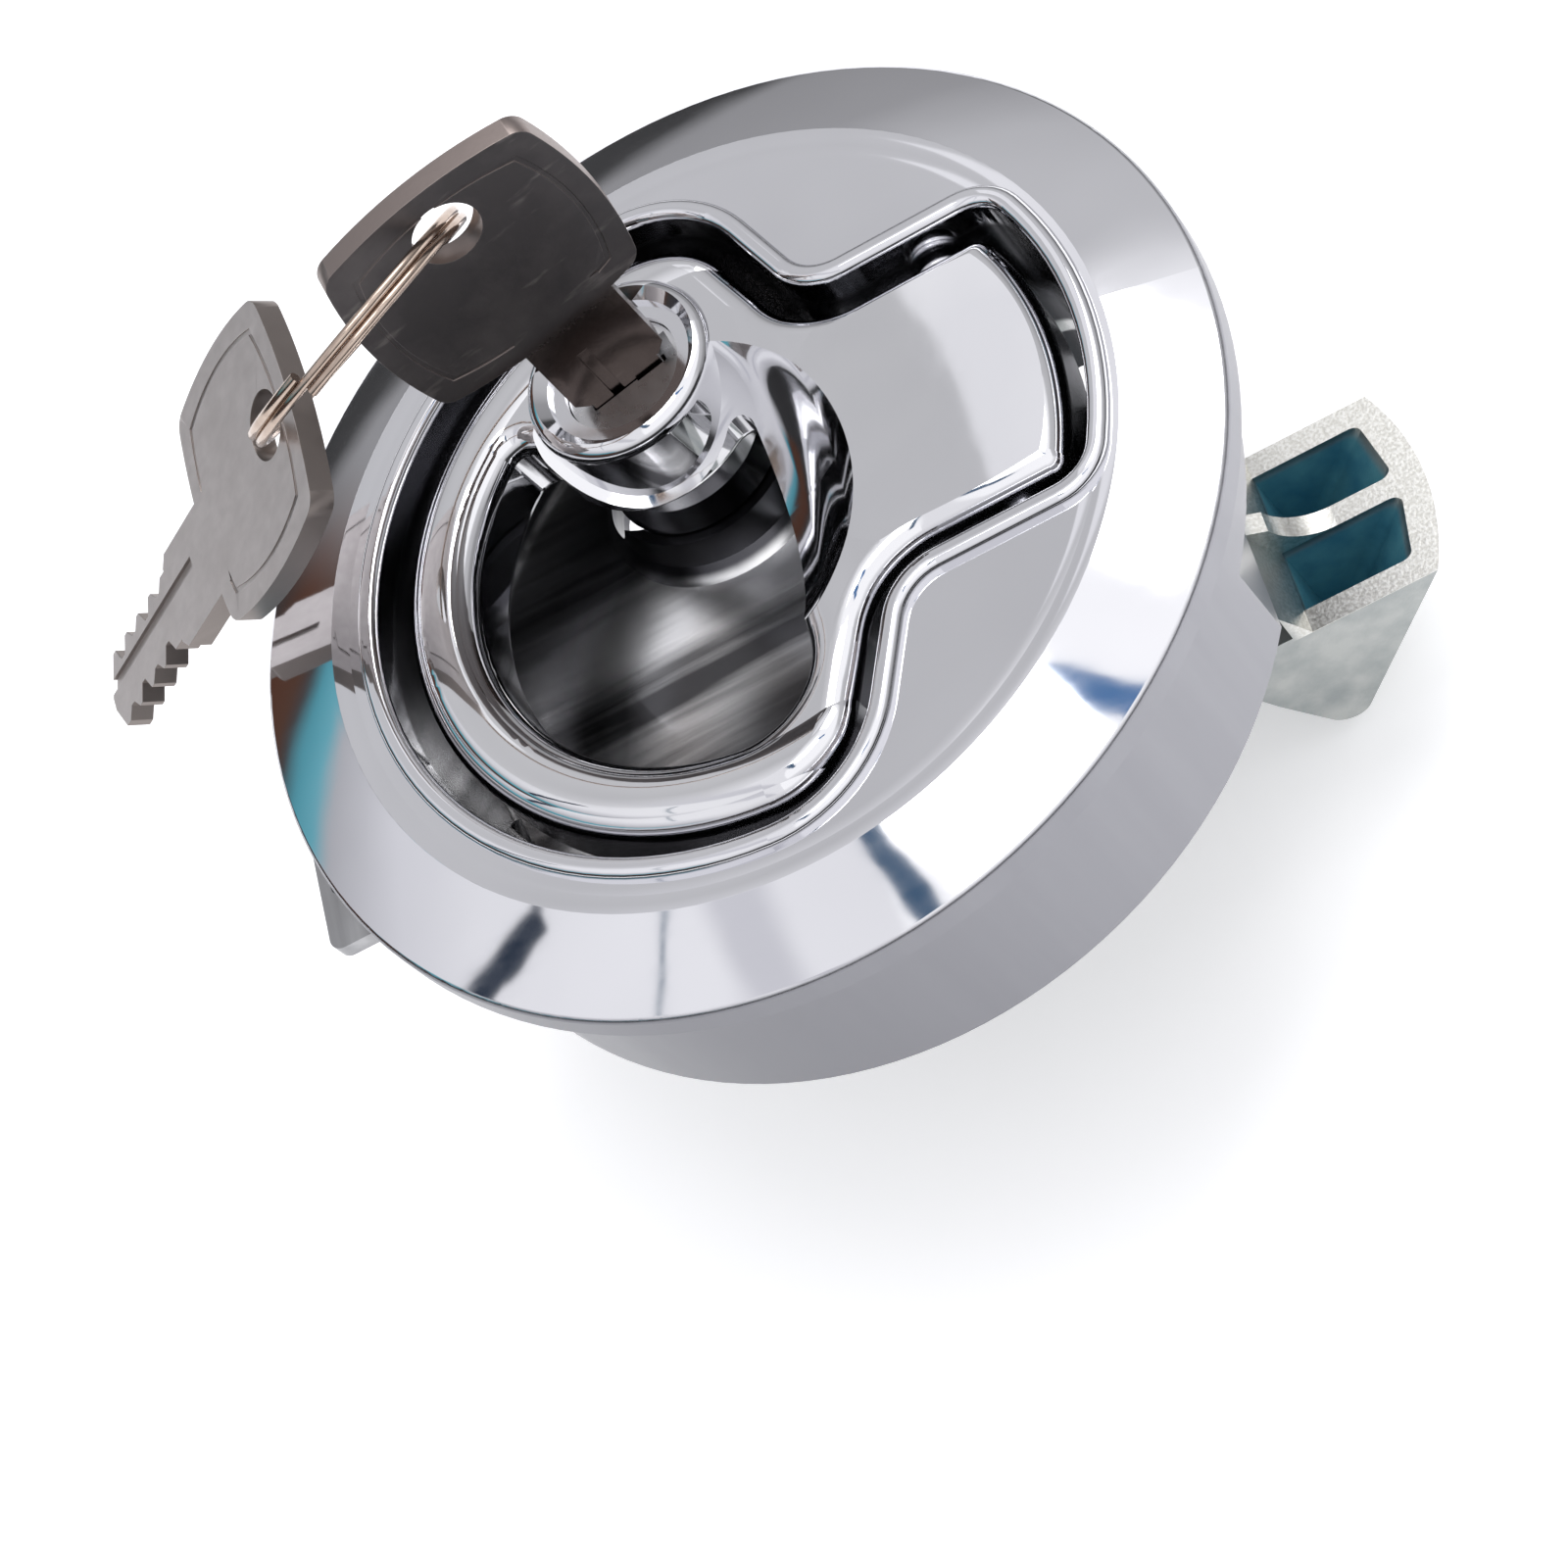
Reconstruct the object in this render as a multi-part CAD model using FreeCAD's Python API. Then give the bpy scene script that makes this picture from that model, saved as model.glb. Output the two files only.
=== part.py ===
import FreeCAD, Part
import math
import os

# Flush pull slam latch with a key lock, in millimetres.
# The origin is the centre of the bezel on the plane where it sits on the panel.
# +Z points out of the face, +X points along the pull towards the bolt.

V = FreeCAD.Vector
X_AXIS = V(1, 0, 0)
Y_AXIS = V(0, 1, 0)
Z_AXIS = V(0, 0, 1)
FAR = 80.0
TINY = 0.001
SOLID_LAP = 0.02

# Bezel and body of the zinc casting
BEZEL_R = 41.0
BEZEL_RIM_H = 2.4
BEZEL_RIM_ROUND = 0.5
CONE_TOP_R = 33.5
FACE_Z = 4.8
FACE_STEP = 0.2
FACE_STEP_W = 1.5
FACE_WALL = 2.4
BODY_R = 38.0
BODY_LAND = 4.0
BODY_FOOT_R = 37.7
BODY_DEPTH = 18.1
BODY_WALL = 2.2
FLAT_X = 33.3
BOLT_FLAT_TOP_Z = -9.0

# Opening of the face: a round end for the ring, a waist and a fishtail
RING_END_R = 30.9
TAIL_END_R = 32.9
TAIL_HALF_W = 15.5
WAIST_X = 13.1
SHOULDER_LEAN = 23.8
SHOULDER_ROUND = 12.0
WAIST_ROUND = 4.0
TAIL_ROUND = 5.2
BEAD_W = 1.8
BEAD_H = 1.0
BEAD_ROOT = 0.6
BEAD_ROUND = 0.75
WELL_FLOOR_Z = -12.0
RECESS_WALL = 2.0

# Pull handle
HANDLE_GAP = 2.1
HANDLE_TOP_Z = 4.7
HANDLE_BOTTOM_Z = -2.2
HANDLE_TOP_ROUND = 2.0
HANDLE_BOTTOM_ROUND = 0.9
FINGER_HOLE_R = 21.0
FINGER_HOLE_X = 4.2
FINGER_HOLE_CORNER = 6.5
SCOOP_R = 23.2
SCOOP_X = -5.0
SCOOP_DEPTH = 7.5
TAIL_DISH_R = 220.0
TAIL_DISH_X = 18.5
TAIL_DISH_DEPTH = 0.35

# Handle pivot
HANDLE_PIN_X = 22.0
HANDLE_PIN_Z = 0.0
HANDLE_PIN_R = 1.5
HANDLE_BOSS_R = 3.3
HANDLE_BOSS_IN = 0.4
PIN_RUNNING_GAP = 0.05
PIN_POCKET_GAP = 0.4

# Bolt pivot
BOLT_PIN_X = 20.0
BOLT_PIN_Z = -14.0
BOLT_PIN_R = 2.0
BOLT_BOSS_R = 3.6
PIN_BOSS_H = 1.0
PIN_POCKET_W = 3.2
PIN_HEAD_H = 1.2
PIN_HEAD_EXTRA_R = 0.9
CLIP_T = 0.7
CLIP_EXTRA_R = 1.2
CLIP_GROOVE = 0.35
PIN_TIP = 0.9
CLIP_MOUTH = 0.8
CLIP_RELIEF = 0.55

# Bolt
BOLT_HALF_W = 9.2
BOLT_HUB_R = 4.6
STRIKE_Z = -33.0
STRIKE_INNER_X = 33.0
BOLT_TIP_X = 46.0
BOLT_TIP_ARC_R = 28.0
RAMP_ANGLE = 39.4
BACK_ANGLE = 28.4
BOLT_BACK_X = 27.0
BOLT_BACK_Z = -40.5
BOLT_TOE_ROUND = 2.0
POCKET_WALL = 2.2
POCKET_TIP_WALL = 2.3
POCKET_RIB = 2.0
POCKET_DEPTH = 8.5
POCKET_DRAFT = 0.3
POCKET_CORNER = 0.8
RIB_SWEEP_R = 5.0
RIB_SWEEP_RUN = 7.5
NECK_FRONT = 0.94
NECK_FRONT_RISE = 1.4
NECK_BACK = 0.96
NECK_BACK_DROP = 1.2
NECK_SLOT_X = 9.0
NECK_SLOT_DEPTH = 14.0
NECK_WEB_X = -1.5
TAIL_ARM_CROWN = 3.2
NOTCH_DEPTH = 1.6
NOTCH_REACH = 5.5
NOTCH_BELOW = 1.2
TAIL_ARM_INNER_Y = 3.6
TAIL_ARM_OUTER_Y = 7.4
TAIL_ARM_LENGTH = 17.0
TAIL_ARM_TOP_Z = -11.6

# Trip arm of the handle, with the bar that lifts the bolt's tail
TRIP_X = 13.0
TRIP_Z = -17.0
TRIP_BAR_R = 1.5
TRIP_BAR_HALF = 7.4
TRIP_ARM_T = 3.0
TRIP_ARM_HALF_W = 2.6
TRIP_GAP = 0.12
TRIP_ROOT_BACK = 1.6
TRIP_ROOT_FRONT = 3.4
TRIP_ROOT_DROP = 3.0
TRIP_FRONT_Z = -10.0

# Mechanism bay behind the pull
BAY_X = 2.4
BAY_LOW_X = 4.4
STOP_PAD_X = 27.0
STOP_PAD_Z = -14.6
STOP_PAD_HALF_W = 6.0

# Lock
LOCK_X = -4.0
LOCK_Y = 16.5
COLLAR_R = 8.2
COLLAR_TOP_Z = 5.7
COLLAR_ROUND = 1.5
COLLAR_BEVEL = 0.9
COLLAR_FLANGE_R = 9.1
COLLAR_EAR_R = 1.5
BARREL_R = 6.3
BARREL_TOP_Z = 4.3
BARREL_LOW_R = 6.9
BARREL_FOOT_R = 7.7
BARREL_BOTTOM_Z = -8.0
BARREL_FOOT_H = 2.2
PLUG_R = 5.0
PLUG_TOP_Z = 3.7
PLUG_GAP = 0.05
PLUG_TAIL_R = 4.0
PLUG_TAIL_GAP = 0.25
PLUG_END_GAP = 0.1
PLUG_LIP_H = 0.9
PLUG_BOTTOM_Z = -14.8
PEDESTAL_R = 9.2
PEDESTAL_TOP_Z = -8.2
PEDESTAL_FLARE = 1.2
PEDESTAL_DRAFT = 0.6

# Cam that turns under the floor to lock the pull
CAM_T = 2.0
CAM_R = 4.4
CAM_REACH = 6.7
CAM_NOSE_HALF_W = 2.0
CAM_HOLE_R = 4.9
CAM_SWING = 4.6
CAM_NOSE_CLEAR = 0.9
CAM_SCREW_R = 1.5
CAM_SCREW_HEAD_R = 2.7
CAM_SCREW_HEAD_H = 1.6
CAM_SCREW_LENGTH = 4.6
CAM_SCREW_GAP = 0.1
CAM_SCREW_ROUND = 0.5
CAM_SLOT_HALF_W = 0.4
CAM_SLOT_DEPTH = 0.8

# Wafers
WAFER_COUNT = 5
WAFER_LIP_GAP = 0.1
WAFER_FIRST_Z = 1.5
WAFER_T = 1.0
WAFER_LENGTH = 8.4
WAFER_W = 5.0
WAFER_GAP = 0.1
WAFER_WINDOW_GAP = 0.15

# Key
KEY_TURN = 12.3
KEY_T = 2.0
KEY_BLADE_W = 6.4
KEY_BLADE_GAP = 0.15
KEY_NECK_W = 8.6
KEY_NECK_LENGTH = 9.6
KEY_BLADE_LENGTH = 15.4
KEY_SHOULDER_GAP = 0.1
KEY_TIP_BLUNT = 2.2
KEY_NECK_LAP = 1.5
KEY_SHOULDER_H = 0.9
KEY_TIP_SHARE = 0.6
KEY_TIP_BACK = 1.4
KEY_CUTS = 4
KEY_CUT_DEPTH = 1.3
KEY_CUT_ROOT = 0.7
KEY_CUT_LEAST = 0.7
KEY_CUT_IN = 0.28
KEY_CUT_OUT = 0.82
KEY_CUT_STAGGER = 0.18
KEY_CUT_START = 1.0
KEY_GROOVE_W = 1.0
KEY_GROOVE_X = 0.9
KEY_GROOVE_DEPTH = 0.35
KEY_GROOVE_UP = 0.55
KEY_BOW_W = 18.6
KEY_BOW_H = 17.5
KEY_BOW_BULGE = 1.2
KEY_BOW_CORNER = 1.8
KEY_BOW_OFFSET = -1.9
KEY_HOLE_R = 2.75
KEY_HOLE_UP = 5.2
KEY_INLAY_IN = 1.7
KEY_INLAY_DEPTH = 0.12
KEY_INLAY_W = 0.35
KEYWAY_NOTCH_W = 2.6
KEYWAY_NOTCH_L = 1.2
KEYWAY_NOTCH_H = 1.8
KEYWAY_GAP = 0.1
KEYWAY_END_GAP = 0.4

# Split ring and the spare key on it
RING_WIRE_R = 0.42
SPARE_FROM_KEY_HOLE = V(-24.84, -0.3, -11.75)
SPARE_ACROSS = V(-0.026, -0.978, -0.206)
SPARE_ALONG = V(0.787, -0.147, 0.599)

# Springs
HANDLE_SPRING_WIRE = 0.7
HANDLE_SPRING_TURNS = 2
BOLT_SPRING_WIRE = 1.1
BOLT_SPRING_TURNS = 3
BOLT_SPRING_ANCHOR = 9.0
HANDLE_SPRING_LEG = 6.0
HANDLE_SPRING_DROP = 9.0
SPRING_PIN_GAP = 0.25
SPRING_SIDE_GAP = 0.25
SPRING_HOOK_X = 30.2
SPRING_HOOK_Z = -31.4
SPRING_HOOK_IN = 0.55
SPRING_KNEE = 2.4

# Panel clamp
BRACKET_T = 1.5
BRACKET_W = 29.0
BRACKET_H = 15.0
BRACKET_LEG = 9.7
BRACKET_BEND_R = 1.0
BRACKET_CORNER = 2.0
BRACKET_LEG_CORNER = 1.2
SLOT_W = 4.6
SLOT_LENGTH = 8.0
SLOT_SPACING = 17.6
SLOT_FROM_FREE_EDGE = 5.4
DIMPLE_R = 0.8
DIMPLE_H = 0.5
DIMPLE_TIP_R = 0.2
DIMPLE_IN = 1.8
SCREW_Z = -14.0
SCREW_R = 2.0
SCREW_LENGTH = 8.0
SCREW_HEAD_R = 3.5
SCREW_HEAD_H = 2.8
SCREW_SLOT_W = 1.0
SCREW_SLOT_DEPTH = 1.3
SCREW_CROSS_DEPTH = 1.8
SCREW_CROSS_HALF = 2.0
SCREW_HEAD_ROUND = 0.9
SPRING_WASHER_T = 1.0
SPRING_WASHER_R = 3.4
SPRING_WASHER_CUT = 0.2
SPRING_WASHER_SLANT = 20.0
FLAT_WASHER_T = 0.8
FLAT_WASHER_R = 4.4
WASHER_BORE_GAP = 0.15
SCREW_BOSS_R = 3.9
SCREW_BOSS_LENGTH = 5.2

# Sizes that follow from the ones above
handle_inset = BEAD_W + HANDLE_GAP
tail_half_w = TAIL_HALF_W - handle_inset
bay_half_w = TAIL_HALF_W - BEAD_W
wall_outer_y = bay_half_w + RECESS_WALL
face_plane_z = FACE_Z - FACE_STEP
bore_gap = PIN_RUNNING_GAP
floor_bottom_z = WELL_FLOOR_Z - RECESS_WALL
plug_low_z = BARREL_BOTTOM_Z + PLUG_LIP_H + PLUG_END_GAP
wafer_room = WAFER_FIRST_Z - WAFER_T - WAFER_GAP - WAFER_LIP_GAP - plug_low_z
wafer_pitch = wafer_room / (WAFER_COUNT - 1)


def cylinder(radius, z_low, z_high, x=0.0, y=0.0):
    return Part.makeCylinder(radius, z_high - z_low, V(x, y, z_low), Z_AXIS)


def cylinder_y(radius, y_low, y_high, x, z):
    return Part.makeCylinder(radius, y_high - y_low, V(x, y_low, z), Y_AXIS)


def cylinder_x(radius, x_low, x_high, y, z):
    return Part.makeCylinder(radius, x_high - x_low, V(x_low, y, z), X_AXIS)


def box(x_low, x_high, y_low, y_high, z_low, z_high):
    return Part.makeBox(x_high - x_low, y_high - y_low, z_high - z_low, V(x_low, y_low, z_low))


def plate_z(points, z_low, z_high):
    """A flat plate whose outline is a list of (x, y) corners."""
    corners = [V(x, y, z_low) for x, y in points]
    return Part.Face(Part.makePolygon(corners + corners[:1])).extrude(V(0, 0, z_high - z_low))


def plate_y(points, y_low, y_high):
    """A flat plate whose outline is a list of (x, z) corners."""
    corners = [V(x, y_low, z) for x, z in points]
    return Part.Face(Part.makePolygon(corners + corners[:1])).extrude(V(0, y_high - y_low, 0))


def revolved(profile, x=0.0, y=0.0):
    """A turned solid from (radius, z) corners, about the vertical through x, y."""
    corners = [V(x + r, y, z) for r, z in profile]
    face = Part.Face(Part.makePolygon(corners + corners[:1]))
    return face.revolve(V(x, y, 0), Z_AXIS, 360)


def joined(first, *others):
    shape = first
    for other in others:
        shape = shape.fuse(other)
    return shape.removeSplitter()


def rounded(shape, radius, wanted):
    """Fillets the edges that a test picks out."""
    edges = [edge for edge in shape.Edges if wanted(edge)]
    if not edges or radius <= 0:
        return shape
    return shape.makeFillet(radius, edges)


def is_vertical(edge):
    low, high = edge.BoundBox.ZMin, edge.BoundBox.ZMax
    return edge.BoundBox.XLength < TINY and edge.BoundBox.YLength < TINY and high - low > TINY


def lies_at_z(z):
    def test(edge):
        bounds = edge.BoundBox
        return abs(bounds.ZMin - z) < TINY and abs(bounds.ZMax - z) < TINY

    return test


def lies_at_x(x):
    def test(edge):
        bounds = edge.BoundBox
        return abs(bounds.XMin - x) < TINY and abs(bounds.XMax - x) < TINY

    return test


def centre_of(edge):
    return edge.BoundBox.Center


def vertical_edges_near(x, y, reach):
    def test(edge):
        centre = centre_of(edge)
        return is_vertical(edge) and math.hypot(centre.x - x, abs(centre.y) - y) < reach

    return test


def opening_prism(inset, z_low, z_high):
    """The fishtail and ring outline of the face, drawn in by an inset."""
    lean = math.radians(SHOULDER_LEAN)
    half_w = TAIL_HALF_W - inset
    waist_x = WAIST_X - inset / math.cos(lean) + inset * math.tan(lean)
    top_x = waist_x - (FAR - half_w) * math.tan(lean)
    left = [(-FAR, FAR), (top_x, FAR), (waist_x, half_w), (waist_x, -half_w), (top_x, -FAR), (-FAR, -FAR)]
    ring_r = RING_END_R - inset
    tail_r = TAIL_END_R - inset
    ring_end = cylinder(ring_r, z_low, z_high).common(plate_z(left, z_low, z_high))
    tail = cylinder(tail_r, z_low, z_high).common(box(0, FAR, -half_w, half_w, z_low, z_high))
    shape = joined(ring_end, tail)
    tail_corner_x = math.sqrt(tail_r**2 - half_w**2)
    shape = rounded(shape, WAIST_ROUND + inset, vertical_edges_near(waist_x, half_w, 1.0))
    shape = rounded(shape, TAIL_ROUND - inset, vertical_edges_near(tail_corner_x, half_w, 1.0))
    slope = math.tan(lean)
    foot = waist_x + half_w * slope
    reach = math.sqrt(ring_r**2 * (1 + slope**2) - foot**2)
    corner_y = (foot * slope + reach) / (1 + slope**2)
    corner_x = foot - corner_y * slope
    return rounded(shape, SHOULDER_ROUND - inset, vertical_edges_near(corner_x, corner_y, 1.0))


def at_lock(shape):
    shape.translate(V(LOCK_X, LOCK_Y, 0))
    return shape


def make_bezel_blank():
    """Flange, cone and body as one turned blank."""
    profile = [
        (0, -BODY_DEPTH),
        (BODY_FOOT_R, -BODY_DEPTH),
        (BODY_R, -BODY_LAND),
        (BODY_R, 0),
        (BEZEL_R, 0),
        (BEZEL_R, BEZEL_RIM_H),
        (CONE_TOP_R, FACE_Z),
        (CONE_TOP_R - FACE_STEP_W, face_plane_z),
        (0, face_plane_z),
    ]
    blank = revolved(profile)
    blank = rounded(blank, BEZEL_RIM_ROUND, lies_at_z(BEZEL_RIM_H))
    bolt_flat = box(FLAT_X, FAR, -FAR, FAR, -FAR, BOLT_FLAT_TOP_Z)
    clamp_flat = box(-FAR, -FLAT_X, -FAR, FAR, -FAR, 0)
    return blank.cut(bolt_flat).cut(clamp_flat)


def make_rear_hollow():
    """What is cored out of the blank from behind."""
    inside = cylinder(BODY_R - BODY_WALL, -FAR, FACE_Z - FACE_WALL)
    inside = inside.common(box(-FLAT_X + BODY_WALL, FLAT_X - BODY_WALL, -FAR, FAR, -FAR, FAR))
    well = opening_prism(BEAD_W - RECESS_WALL, floor_bottom_z, FACE_Z)
    bay_walls = well.common(box(BAY_LOW_X, FAR, -FAR, FAR, -FAR, FAR))
    low_z = -BODY_DEPTH - 1
    bay_low = opening_prism(BEAD_W - RECESS_WALL, low_z, floor_bottom_z)
    bay_low = bay_low.common(box(BAY_LOW_X, FAR, -wall_outer_y, wall_outer_y, low_z, floor_bottom_z))
    return inside.cut(well).cut(bay_walls).cut(bay_low)


def make_cam_hole():
    """Keyhole in the floor that lets the cam out only when it is unlocked."""
    low, high = floor_bottom_z - 1, PEDESTAL_TOP_Z + 1
    reach = CAM_REACH + CAM_NOSE_CLEAR
    middle = box(-CAM_SWING, 0, -CAM_HOLE_R, CAM_HOLE_R, low, high)
    ends = cylinder(CAM_HOLE_R, low, high).fuse(cylinder(CAM_HOLE_R, low, high, -CAM_SWING))
    nose_half = CAM_NOSE_HALF_W + CAM_NOSE_CLEAR
    nose = box(-CAM_SWING - nose_half, nose_half, 0, reach, low, high)
    return at_lock(joined(middle, ends, nose))


def make_bead():
    """Raised rolled lip round the opening."""
    low = face_plane_z - BEAD_ROOT
    high = face_plane_z + BEAD_H
    lip = opening_prism(0, low, high).cut(opening_prism(BEAD_W, low - 1, high + 1))
    return rounded(lip, BEAD_ROUND, lies_at_z(high))


def make_screw_bosses():
    bosses = []
    for side in (-1, 1):
        y = side * SLOT_SPACING / 2
        bosses.append(cylinder_x(SCREW_BOSS_R, -FLAT_X, -FLAT_X + SCREW_BOSS_LENGTH, y, SCREW_Z))
    return bosses


def make_screw_holes():
    holes = []
    for side in (-1, 1):
        y = side * SLOT_SPACING / 2
        holes.append(cylinder_x(SCREW_R, -FLAT_X - 1, -FLAT_X + SCREW_BOSS_LENGTH + 1, y, SCREW_Z))
    return holes


def make_pin_pockets():
    """Pockets behind the face for the head and the clip of the pull's pin."""
    radius = HANDLE_PIN_R + CLIP_EXTRA_R + PIN_POCKET_GAP
    right = cylinder_y(radius, wall_outer_y, wall_outer_y + PIN_POCKET_W, HANDLE_PIN_X, HANDLE_PIN_Z)
    left = cylinder_y(radius, -wall_outer_y - PIN_POCKET_W, -wall_outer_y, HANDLE_PIN_X, HANDLE_PIN_Z)
    return right.fuse(left)


def make_housing():
    casting = make_bezel_blank().cut(make_rear_hollow())
    casting = casting.fuse(make_bead())
    well = opening_prism(BEAD_W, WELL_FLOOR_Z, FACE_Z + BEAD_H + 1)
    casting = casting.cut(well)
    bay = opening_prism(BEAD_W, -BODY_DEPTH - 1, WELL_FLOOR_Z + 0.5)
    bay = bay.common(box(BAY_X, FAR, -bay_half_w, bay_half_w, -FAR, FAR))
    casting = casting.cut(bay)
    pedestal = revolved(
        [
            (0, WELL_FLOOR_Z - 0.5),
            (PEDESTAL_R + PEDESTAL_FLARE, WELL_FLOOR_Z - 0.5),
            (PEDESTAL_R + PEDESTAL_FLARE, WELL_FLOOR_Z),
            (PEDESTAL_R, WELL_FLOOR_Z + PEDESTAL_FLARE),
            (PEDESTAL_R - PEDESTAL_DRAFT, PEDESTAL_TOP_Z),
            (0, PEDESTAL_TOP_Z),
        ],
        LOCK_X,
        LOCK_Y,
    )
    parts = [pedestal.common(cylinder(RING_END_R - BEAD_W + 0.5, -FAR, FAR))]
    for side in (-1, 1):
        y_low = min(side * wall_outer_y, side * (wall_outer_y + PIN_BOSS_H))
        parts.append(cylinder_y(BOLT_BOSS_R, y_low, y_low + PIN_BOSS_H, BOLT_PIN_X, BOLT_PIN_Z))
    pad_x = FLAT_X - BODY_WALL + 0.5
    parts.append(
        box(STOP_PAD_X, pad_x, -STOP_PAD_HALF_W, STOP_PAD_HALF_W, -BODY_DEPTH, STOP_PAD_Z)
    )
    parts += make_screw_bosses()
    casting = joined(casting, *parts)
    casting = casting.cut(make_cam_hole()).cut(make_pin_pockets())
    for hole in make_screw_holes():
        casting = casting.cut(hole)
    reach = wall_outer_y + PIN_BOSS_H + 1
    casting = casting.cut(cylinder_y(HANDLE_PIN_R, -reach, reach, HANDLE_PIN_X, HANDLE_PIN_Z))
    casting = casting.cut(cylinder_y(BOLT_PIN_R, -reach, reach, BOLT_PIN_X, BOLT_PIN_Z))
    return casting.removeSplitter()


def make_finger_hole(z_low, z_high):
    """Opening of the ring: a round hole with a straight side below the fishtail."""
    hole = cylinder(FINGER_HOLE_R, z_low, z_high)
    hole = hole.common(box(-FAR, FINGER_HOLE_X, -FAR, FAR, z_low, z_high))
    corner_y = math.sqrt(FINGER_HOLE_R**2 - FINGER_HOLE_X**2)
    hole = rounded(hole, FINGER_HOLE_CORNER, vertical_edges_near(FINGER_HOLE_X, corner_y, 1.0))
    hole = hole.cut(cylinder(COLLAR_FLANGE_R, z_low - 1, z_high + 1, LOCK_X, LOCK_Y))

    def meets_collar(edge):
        centre = centre_of(edge)
        from_lock = math.hypot(centre.x - LOCK_X, centre.y - LOCK_Y)
        return is_vertical(edge) and abs(from_lock - COLLAR_FLANGE_R) < TINY

    return rounded(hole, COLLAR_EAR_R, meets_collar)


def make_trip_arm():
    """Arm cast under the pull, ending in a bar that lies under the bolt's tail."""
    half_t = TRIP_ARM_T / 2
    root_z = HANDLE_BOTTOM_Z + 1.0
    profile = [
        (TRIP_X - half_t - TRIP_ROOT_BACK, root_z),
        (TRIP_X - half_t, root_z - TRIP_ROOT_DROP),
        (TRIP_X - half_t, TRIP_Z),
        (TRIP_X + half_t, TRIP_Z),
        (TRIP_X + half_t, TRIP_FRONT_Z),
        (TRIP_X + half_t + TRIP_ROOT_FRONT, root_z),
    ]
    arm = plate_y(profile, -TRIP_ARM_HALF_W, TRIP_ARM_HALF_W)
    bar = cylinder_y(TRIP_BAR_R, -TRIP_BAR_HALF, TRIP_BAR_HALF, TRIP_X, TRIP_Z)
    return joined(arm, bar)


def make_pull_handle():
    body = opening_prism(handle_inset, HANDLE_BOTTOM_Z, HANDLE_TOP_Z)
    body = body.cut(make_finger_hole(HANDLE_BOTTOM_Z - 1, HANDLE_TOP_Z + 1))
    body = rounded(body, HANDLE_TOP_ROUND, lies_at_z(HANDLE_TOP_Z))
    body = rounded(body, HANDLE_BOTTOM_ROUND, lies_at_z(HANDLE_BOTTOM_Z))
    scoop_z = HANDLE_BOTTOM_Z + SCOOP_R + HANDLE_TOP_Z - HANDLE_BOTTOM_Z - SCOOP_DEPTH
    body = body.cut(Part.makeSphere(SCOOP_R, V(SCOOP_X, 0, scoop_z)))
    dish_z = HANDLE_TOP_Z + TAIL_DISH_R - TAIL_DISH_DEPTH
    body = body.cut(Part.makeSphere(TAIL_DISH_R, V(TAIL_DISH_X, 0, dish_z)))
    boss_half = tail_half_w - HANDLE_BOSS_IN
    boss = cylinder_y(HANDLE_BOSS_R, -boss_half, boss_half, HANDLE_PIN_X, HANDLE_PIN_Z)
    collar = cylinder(COLLAR_R, HANDLE_BOTTOM_Z, COLLAR_TOP_Z, LOCK_X, LOCK_Y)
    collar = rounded(collar, COLLAR_ROUND, lies_at_z(COLLAR_TOP_Z))
    collar = rounded(collar, HANDLE_BOTTOM_ROUND, lies_at_z(HANDLE_BOTTOM_Z))
    body = joined(body, boss, collar, make_trip_arm())
    bore_top = COLLAR_TOP_Z + 0.5
    bore = cylinder(BARREL_R, HANDLE_BOTTOM_Z - 1, bore_top, LOCK_X, LOCK_Y)
    bevel_r = BARREL_R + COLLAR_BEVEL + 0.5
    bevel_foot = V(LOCK_X, LOCK_Y, COLLAR_TOP_Z - COLLAR_BEVEL)
    bevel = Part.makeCone(BARREL_R, bevel_r, bevel_r - BARREL_R, bevel_foot, Z_AXIS)
    body = body.cut(bore).cut(bevel)
    pin_hole_r = HANDLE_PIN_R + bore_gap
    body = body.cut(cylinder_y(pin_hole_r, -FAR, FAR, HANDLE_PIN_X, HANDLE_PIN_Z))
    return body.removeSplitter()


def pin_with_head(radius, x, z, y_end):
    """Headed pin along Y with a groove for its clip at the +Y end."""
    head_y = -y_end - PIN_HEAD_H
    clip_y = y_end
    length_end = y_end + CLIP_T + PIN_TIP
    pin = cylinder_y(radius, -y_end, length_end, x, z)
    head = cylinder_y(radius + PIN_HEAD_EXTRA_R, head_y, -y_end, x, z)
    groove = cylinder_y(radius + 1, clip_y, clip_y + CLIP_T, x, z)
    groove = groove.cut(cylinder_y(radius - CLIP_GROOVE, clip_y, clip_y + CLIP_T, x, z))
    pin = joined(pin, head).cut(groove)
    tip = lambda edge: abs(edge.BoundBox.YMin - length_end) < TINY
    return rounded(pin, CLIP_GROOVE, tip)


def e_clip(radius, x, z, y_end):
    """Spring clip pushed into the pin's groove from the side."""
    groove_r = radius - CLIP_GROOVE
    outer = cylinder_y(radius + CLIP_EXTRA_R, y_end, y_end + CLIP_T, x, z)
    bore = cylinder_y(groove_r, y_end - 1, y_end + CLIP_T + 1, x, z)
    mouth_half = groove_r * CLIP_MOUTH
    mouth = box(x - mouth_half, x + mouth_half, y_end - 1, y_end + CLIP_T + 1, z - FAR, z)
    relief = cylinder_y(radius * CLIP_RELIEF, y_end - 1, y_end + CLIP_T + 1, x, z + groove_r)
    return outer.cut(bore).cut(mouth).cut(relief)


def tip_x(y):
    """How far the head reaches at a given y on the strike face: the tip is an arc in plan."""
    sag = BOLT_TIP_ARC_R - math.sqrt(BOLT_TIP_ARC_R**2 - y**2)
    return BOLT_TIP_X - sag / math.cos(math.radians(RAMP_ANGLE))


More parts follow.
